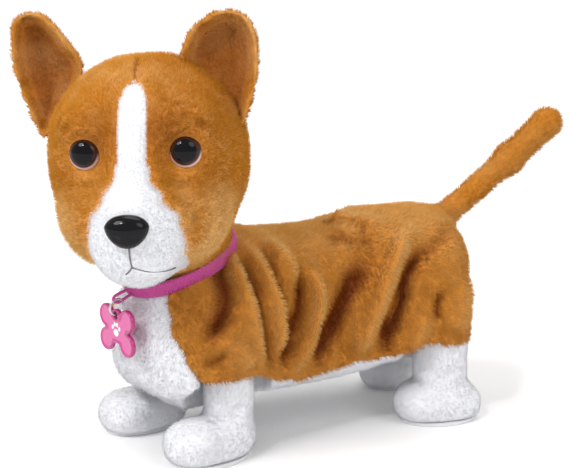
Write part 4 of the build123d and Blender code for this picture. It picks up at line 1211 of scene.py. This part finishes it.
def make_eye(name, side):
    centre = HEAD.out(EYE * (side, 1, 1))
    way = HEAD.turn.T @ unit((side * 0.18, -1, 0.02))
    dome = [(EYE_R * math.sin(t), EYE_BULGE * math.cos(t)) for t in np.linspace(math.pi / 2, 0.04, 22)]
    back = [(0, EYE_BACK), (EYE_R * 0.9, EYE_BACK), (EYE_R, -2.2)]
    piece = lathe(name + "_dome", [*back, *dome, (0, EYE_BULGE)], centre, way)
    local = HEAD.into([v.co for v in piece.data.vertices]) - EYE * (side, 1, 1)
    offset = np.hypot(local[:, 0] - side * 0.2, local[:, 2] - 0.9)
    tint = blend_tint(PUPIL, IRIS, ramp(offset, 5.0, 5.9))
    paint(piece, blend_tint(tint, EYE_RIM, ramp(offset, 6.7, 7.3) * ramp(-local[:, 2], -2, 3)))
    dress(piece, EYE_LOOK)
    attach(piece, "head")
    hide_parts(name)


NOSE_RADII = (10.6, 6.2, 7.9)


def nose_field(p):
    """A button nose, broad on top, with two nostrils."""
    q = mirrored(p) - NOSE
    narrow = 10.8 - 0.34 * (2.5 - q[:, 2]).clip(0, 12)
    scaled = q * np.stack([NOSE_RADII[0] / narrow, np.ones(len(q)), np.ones(len(q))], 1)
    form = egg(scaled, (0, 0, 0), NOSE_RADII, 2.2)
    nostril = egg(q, (4.6, -6.6, -2.6), (1.9, 1.7, 1.2))
    return common(form, -nostril, 2)


def make_nose():
    verts, quads = build(nose_field, NOSE - (13, 9, 10), NOSE + (13, 9, 10), 0.55)
    piece = make_mesh("nose_cap", HEAD.out(verts), quads)
    dress(piece, GLOSS_BLACK)
    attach(piece, "head")
    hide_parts("nose")


# ---------------- collar
BAND_HALF, BAND_THICK, BAND_ROUND = 3.6, 0.8, 0.6
RIB_HEIGHT, RIB_STEPS = 0.3, 4


def make_collar():
    side = np.array([1.0, 0, 0])
    back = np.cross(NECK_UP, side)
    steps = detail(720)
    turn = circle(steps)
    rib = detail(RIB_HEIGHT) * np.cos(np.arange(steps) * 2 * math.pi / RIB_STEPS)
    low, high, thin = -BAND_HALF, BAND_HALF, BAND_THICK * BAND_ROUND
    outside = [(low, thin), (low + BAND_ROUND, BAND_THICK), (high - BAND_ROUND, BAND_THICK), (high, thin)]
    band = []
    for across, out in [(low, -BAND_THICK), *outside, (high, -BAND_THICK)]:
        reach = out + (rib if out > 0 else 0)
        x = (COLLAR_X + reach) * np.cos(turn)
        y = (COLLAR_Y + reach) * np.sin(turn)
        band.append(COLLAR_MIDDLE + x[:, None] * side + y[:, None] * back + NECK_UP * across)
    rows = np.arange(len(band))[:, None]
    n, n2 = rows * steps, (rows + 1) % len(band) * steps
    k = np.arange(steps)[None]
    k2 = (k + 1) % steps
    quads = np.stack([n + k, n2 + k, n2 + k2, n + k2], -1).reshape(-1, 4)
    piece = make_mesh("collar_band", np.concatenate(band) * MM, quads)
    look = plain("ribbed webbing", (0.52, 0.045, 0.27), 0.55, Sheen_Weight=0.3)
    link_bump(look, object_noise(look, 2600, 2), 0.5)
    ring = middle("tag_ring") / MM
    tie = COLLAR_MIDDLE - back * (COLLAR_Y + 0.5)
    through = [(0, 4, 3.4), (0, 1, 2.3), (0, -1.6, 3), (0, -1.8, 5.2), (0, 1, 6.6)]
    hook = [tie + (0, 1, -1.5), *(ring + np.array(step) for step in through), tie + (0, 1, 1.5)]
    loop = tube("collar_loop", smooth_route(hook, 6) * MM, 0.8 * MM)
    for each in (piece, loop):
        dress(each, look)
        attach(each, "front_body")
    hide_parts("collar")


# ---------------- tag
TAG_LOBES, TAG_LOBE_R, TAG_HALF, TAG_RIM = np.array([9.3, 6.2]), 6.0, 1.3, 1.5
TAG_STEM_R, TAG_HOLE_R = 3.3, 2.0
TAG_EDGE, TAG_FACE = np.array([(0.42, 0.025, 0.17), (0.6, 0.07, 0.28)])
PAW = [(0, -1.3, 2.3, 1.9), (-3.1, 1.2, 0.95, 1.2), (-1.1, 2.9, 0.95, 1.25)]  # sideways, up and half sizes
PAW += [(1.1, 2.9, 0.95, 1.25), (3.1, 1.2, 0.95, 1.2)]


def make_tag():
    """A bone with a raised rim, hanging from its ring, and a small paw inlaid in its face."""
    low, high = (np.array(v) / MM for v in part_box("tag_plate"))
    centre = (low + high) / 2
    centre[2] = low[2] + TAG_LOBES[1] + TAG_LOBE_R + 0.2
    ring_low = np.array(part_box("tag_ring")[0]) / MM
    eyelet = (ring_low[2] + 0.7 - centre[2]) - 0.2

    def outline(p):
        flat = np.abs(p[:, [0, 2]])
        lobes = np.linalg.norm(flat - TAG_LOBES, axis=1) - TAG_LOBE_R
        bar = (flat - (TAG_LOBES[0], TAG_LOBES[1] + 0.5)).max(1)
        stem = np.hypot(p[:, 0], p[:, 2] - eyelet) - TAG_STEM_R
        hole = TAG_HOLE_R - np.hypot(p[:, 0], p[:, 2] - eyelet)
        return common(join(join(lobes, bar, 2.5), stem, 2.5), hole, 0.4)

    def field(p):
        edge = outline(p)
        dish = 0.45 * ramp(-edge, TAG_RIM - 0.4, TAG_RIM + 0.4)
        return common(np.abs(p[:, 1]) - TAG_HALF + dish, edge, 0.8)

    verts, quads = build(field, (-17, -3, -14), (17, 3, 18), detail(0.5))
    plate = make_mesh("tag_bone", (centre + verts) * MM, quads)
    shade = ramp(-outline(verts), TAG_RIM - 0.5, TAG_RIM + 0.5)
    paint(plate, blend_tint(TAG_EDGE, TAG_FACE, shade))
    dress(plate, tinted("pearly tag", 0.25, 1500, 0.06, 0.05, Coat_Weight=0.4))
    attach(plate, "tag")
    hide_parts("tag_plate")

    def paw(p):
        pads = [np.hypot((p[:, 0] - x) / w, (p[:, 2] - z) / h) * min(w, h) - min(w, h) for x, z, w, h in PAW]
        return common(np.abs(p[:, 1] + TAG_HALF - 0.55) - 0.35, np.min(pads, 0), 0.3)

    verts, quads = build(paw, (-6, -2, -5), (6, 0.2, 6), detail(0.3))
    mark = make_mesh("tag_paw", (centre + verts) * MM, quads)
    look = plain("white inlay", (0.8, 0.78, 0.8), 0.4)
    link_bump(look, object_noise(look, 2500), 0.15)
    dress(mark, look)
    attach(mark, "tag")


def grained(name, colour, roughness, cells, bump, **more):
    """One even colour with a fine surface grain and a little uneven gloss."""
    look = plain(name, colour, roughness, **more)
    noise = object_noise(look, cells)
    link_bump(look, noise, bump)
    wire(look, spread(look, noise, roughness * 0.8, min(roughness * 1.2, 1)), "Roughness")
    return look


CASING = "shell_left shell_right skull_ battery_door switch_housing"
MOVING = "_leg_shell tail_core neck_spindle back_button washers knob"
HARDWARE = {  # name, colour, roughness, grain and bump of each look, and the words in its pieces' names
    ("casing plastic", (0.62, 0.62, 0.6), 0.45, 1800, 0.35): CASING,
    ("leg plastic", (0.55, 0.55, 0.54), 0.4, 1400, 0.3): MOVING,
    ("gear acetal", (0.8, 0.77, 0.66), 0.3, 2200, 0.2): "drive_gear pinion crank_disc",
    ("board green", (0.02, 0.14, 0.05), 0.35, 3000, 0.4): "circuit_board",
    ("speaker cone", (0.04, 0.04, 0.045), 0.6, 2600, 0.5): "speaker",
    ("cell jacket", (0.03, 0.035, 0.05), 0.3, 900, 0.1): "battery_cells",
    ("sole rubber", (0.7, 0.7, 0.72), 0.75, 2400, 0.6): "_sole",
}
STEEL = ("bright steel", (0.58, 0.58, 0.6), 0.28, 3200, 0.15)


def dress_hardware():
    """Looks for the plastic, rubber and steel pieces that keep their engineering form."""
    steel = grained(*STEEL, Metallic=1.0)
    looks = [(grained(*look), words.split()) for look, words in HARDWARE.items()]
    for name, piece in frame["nodes"].items():
        fitting = [look for look, words in looks if any(word in name for word in words)]
        piece.data.materials.clear()
        piece.data.materials.append(fitting[0] if fitting and "screw" not in name else steel)


make_camera()
make_stage()
make_head()
make_ear("ear_left", 1, LEFT_EAR)
make_ear("ear_right", -1, RIGHT_EAR)
make_eye("eye_left", 1)
make_eye("eye_right", -1)
make_nose()
make_collar()
make_tag()
dress_hardware()
make_coat()
make_underside()
make_leg("front_left_leg", FRONT, 1, 12.6, FRONT_LEG_S)
make_leg("front_right_leg", FRONT, -1, 12.6, FRONT_LEG_S)
make_leg("rear_left_leg", REAR, 1, 14.8, REAR_LEG_S - 1)
make_leg("rear_right_leg", REAR, -1, 14.8, REAR_LEG_S - 1)
make_tail()
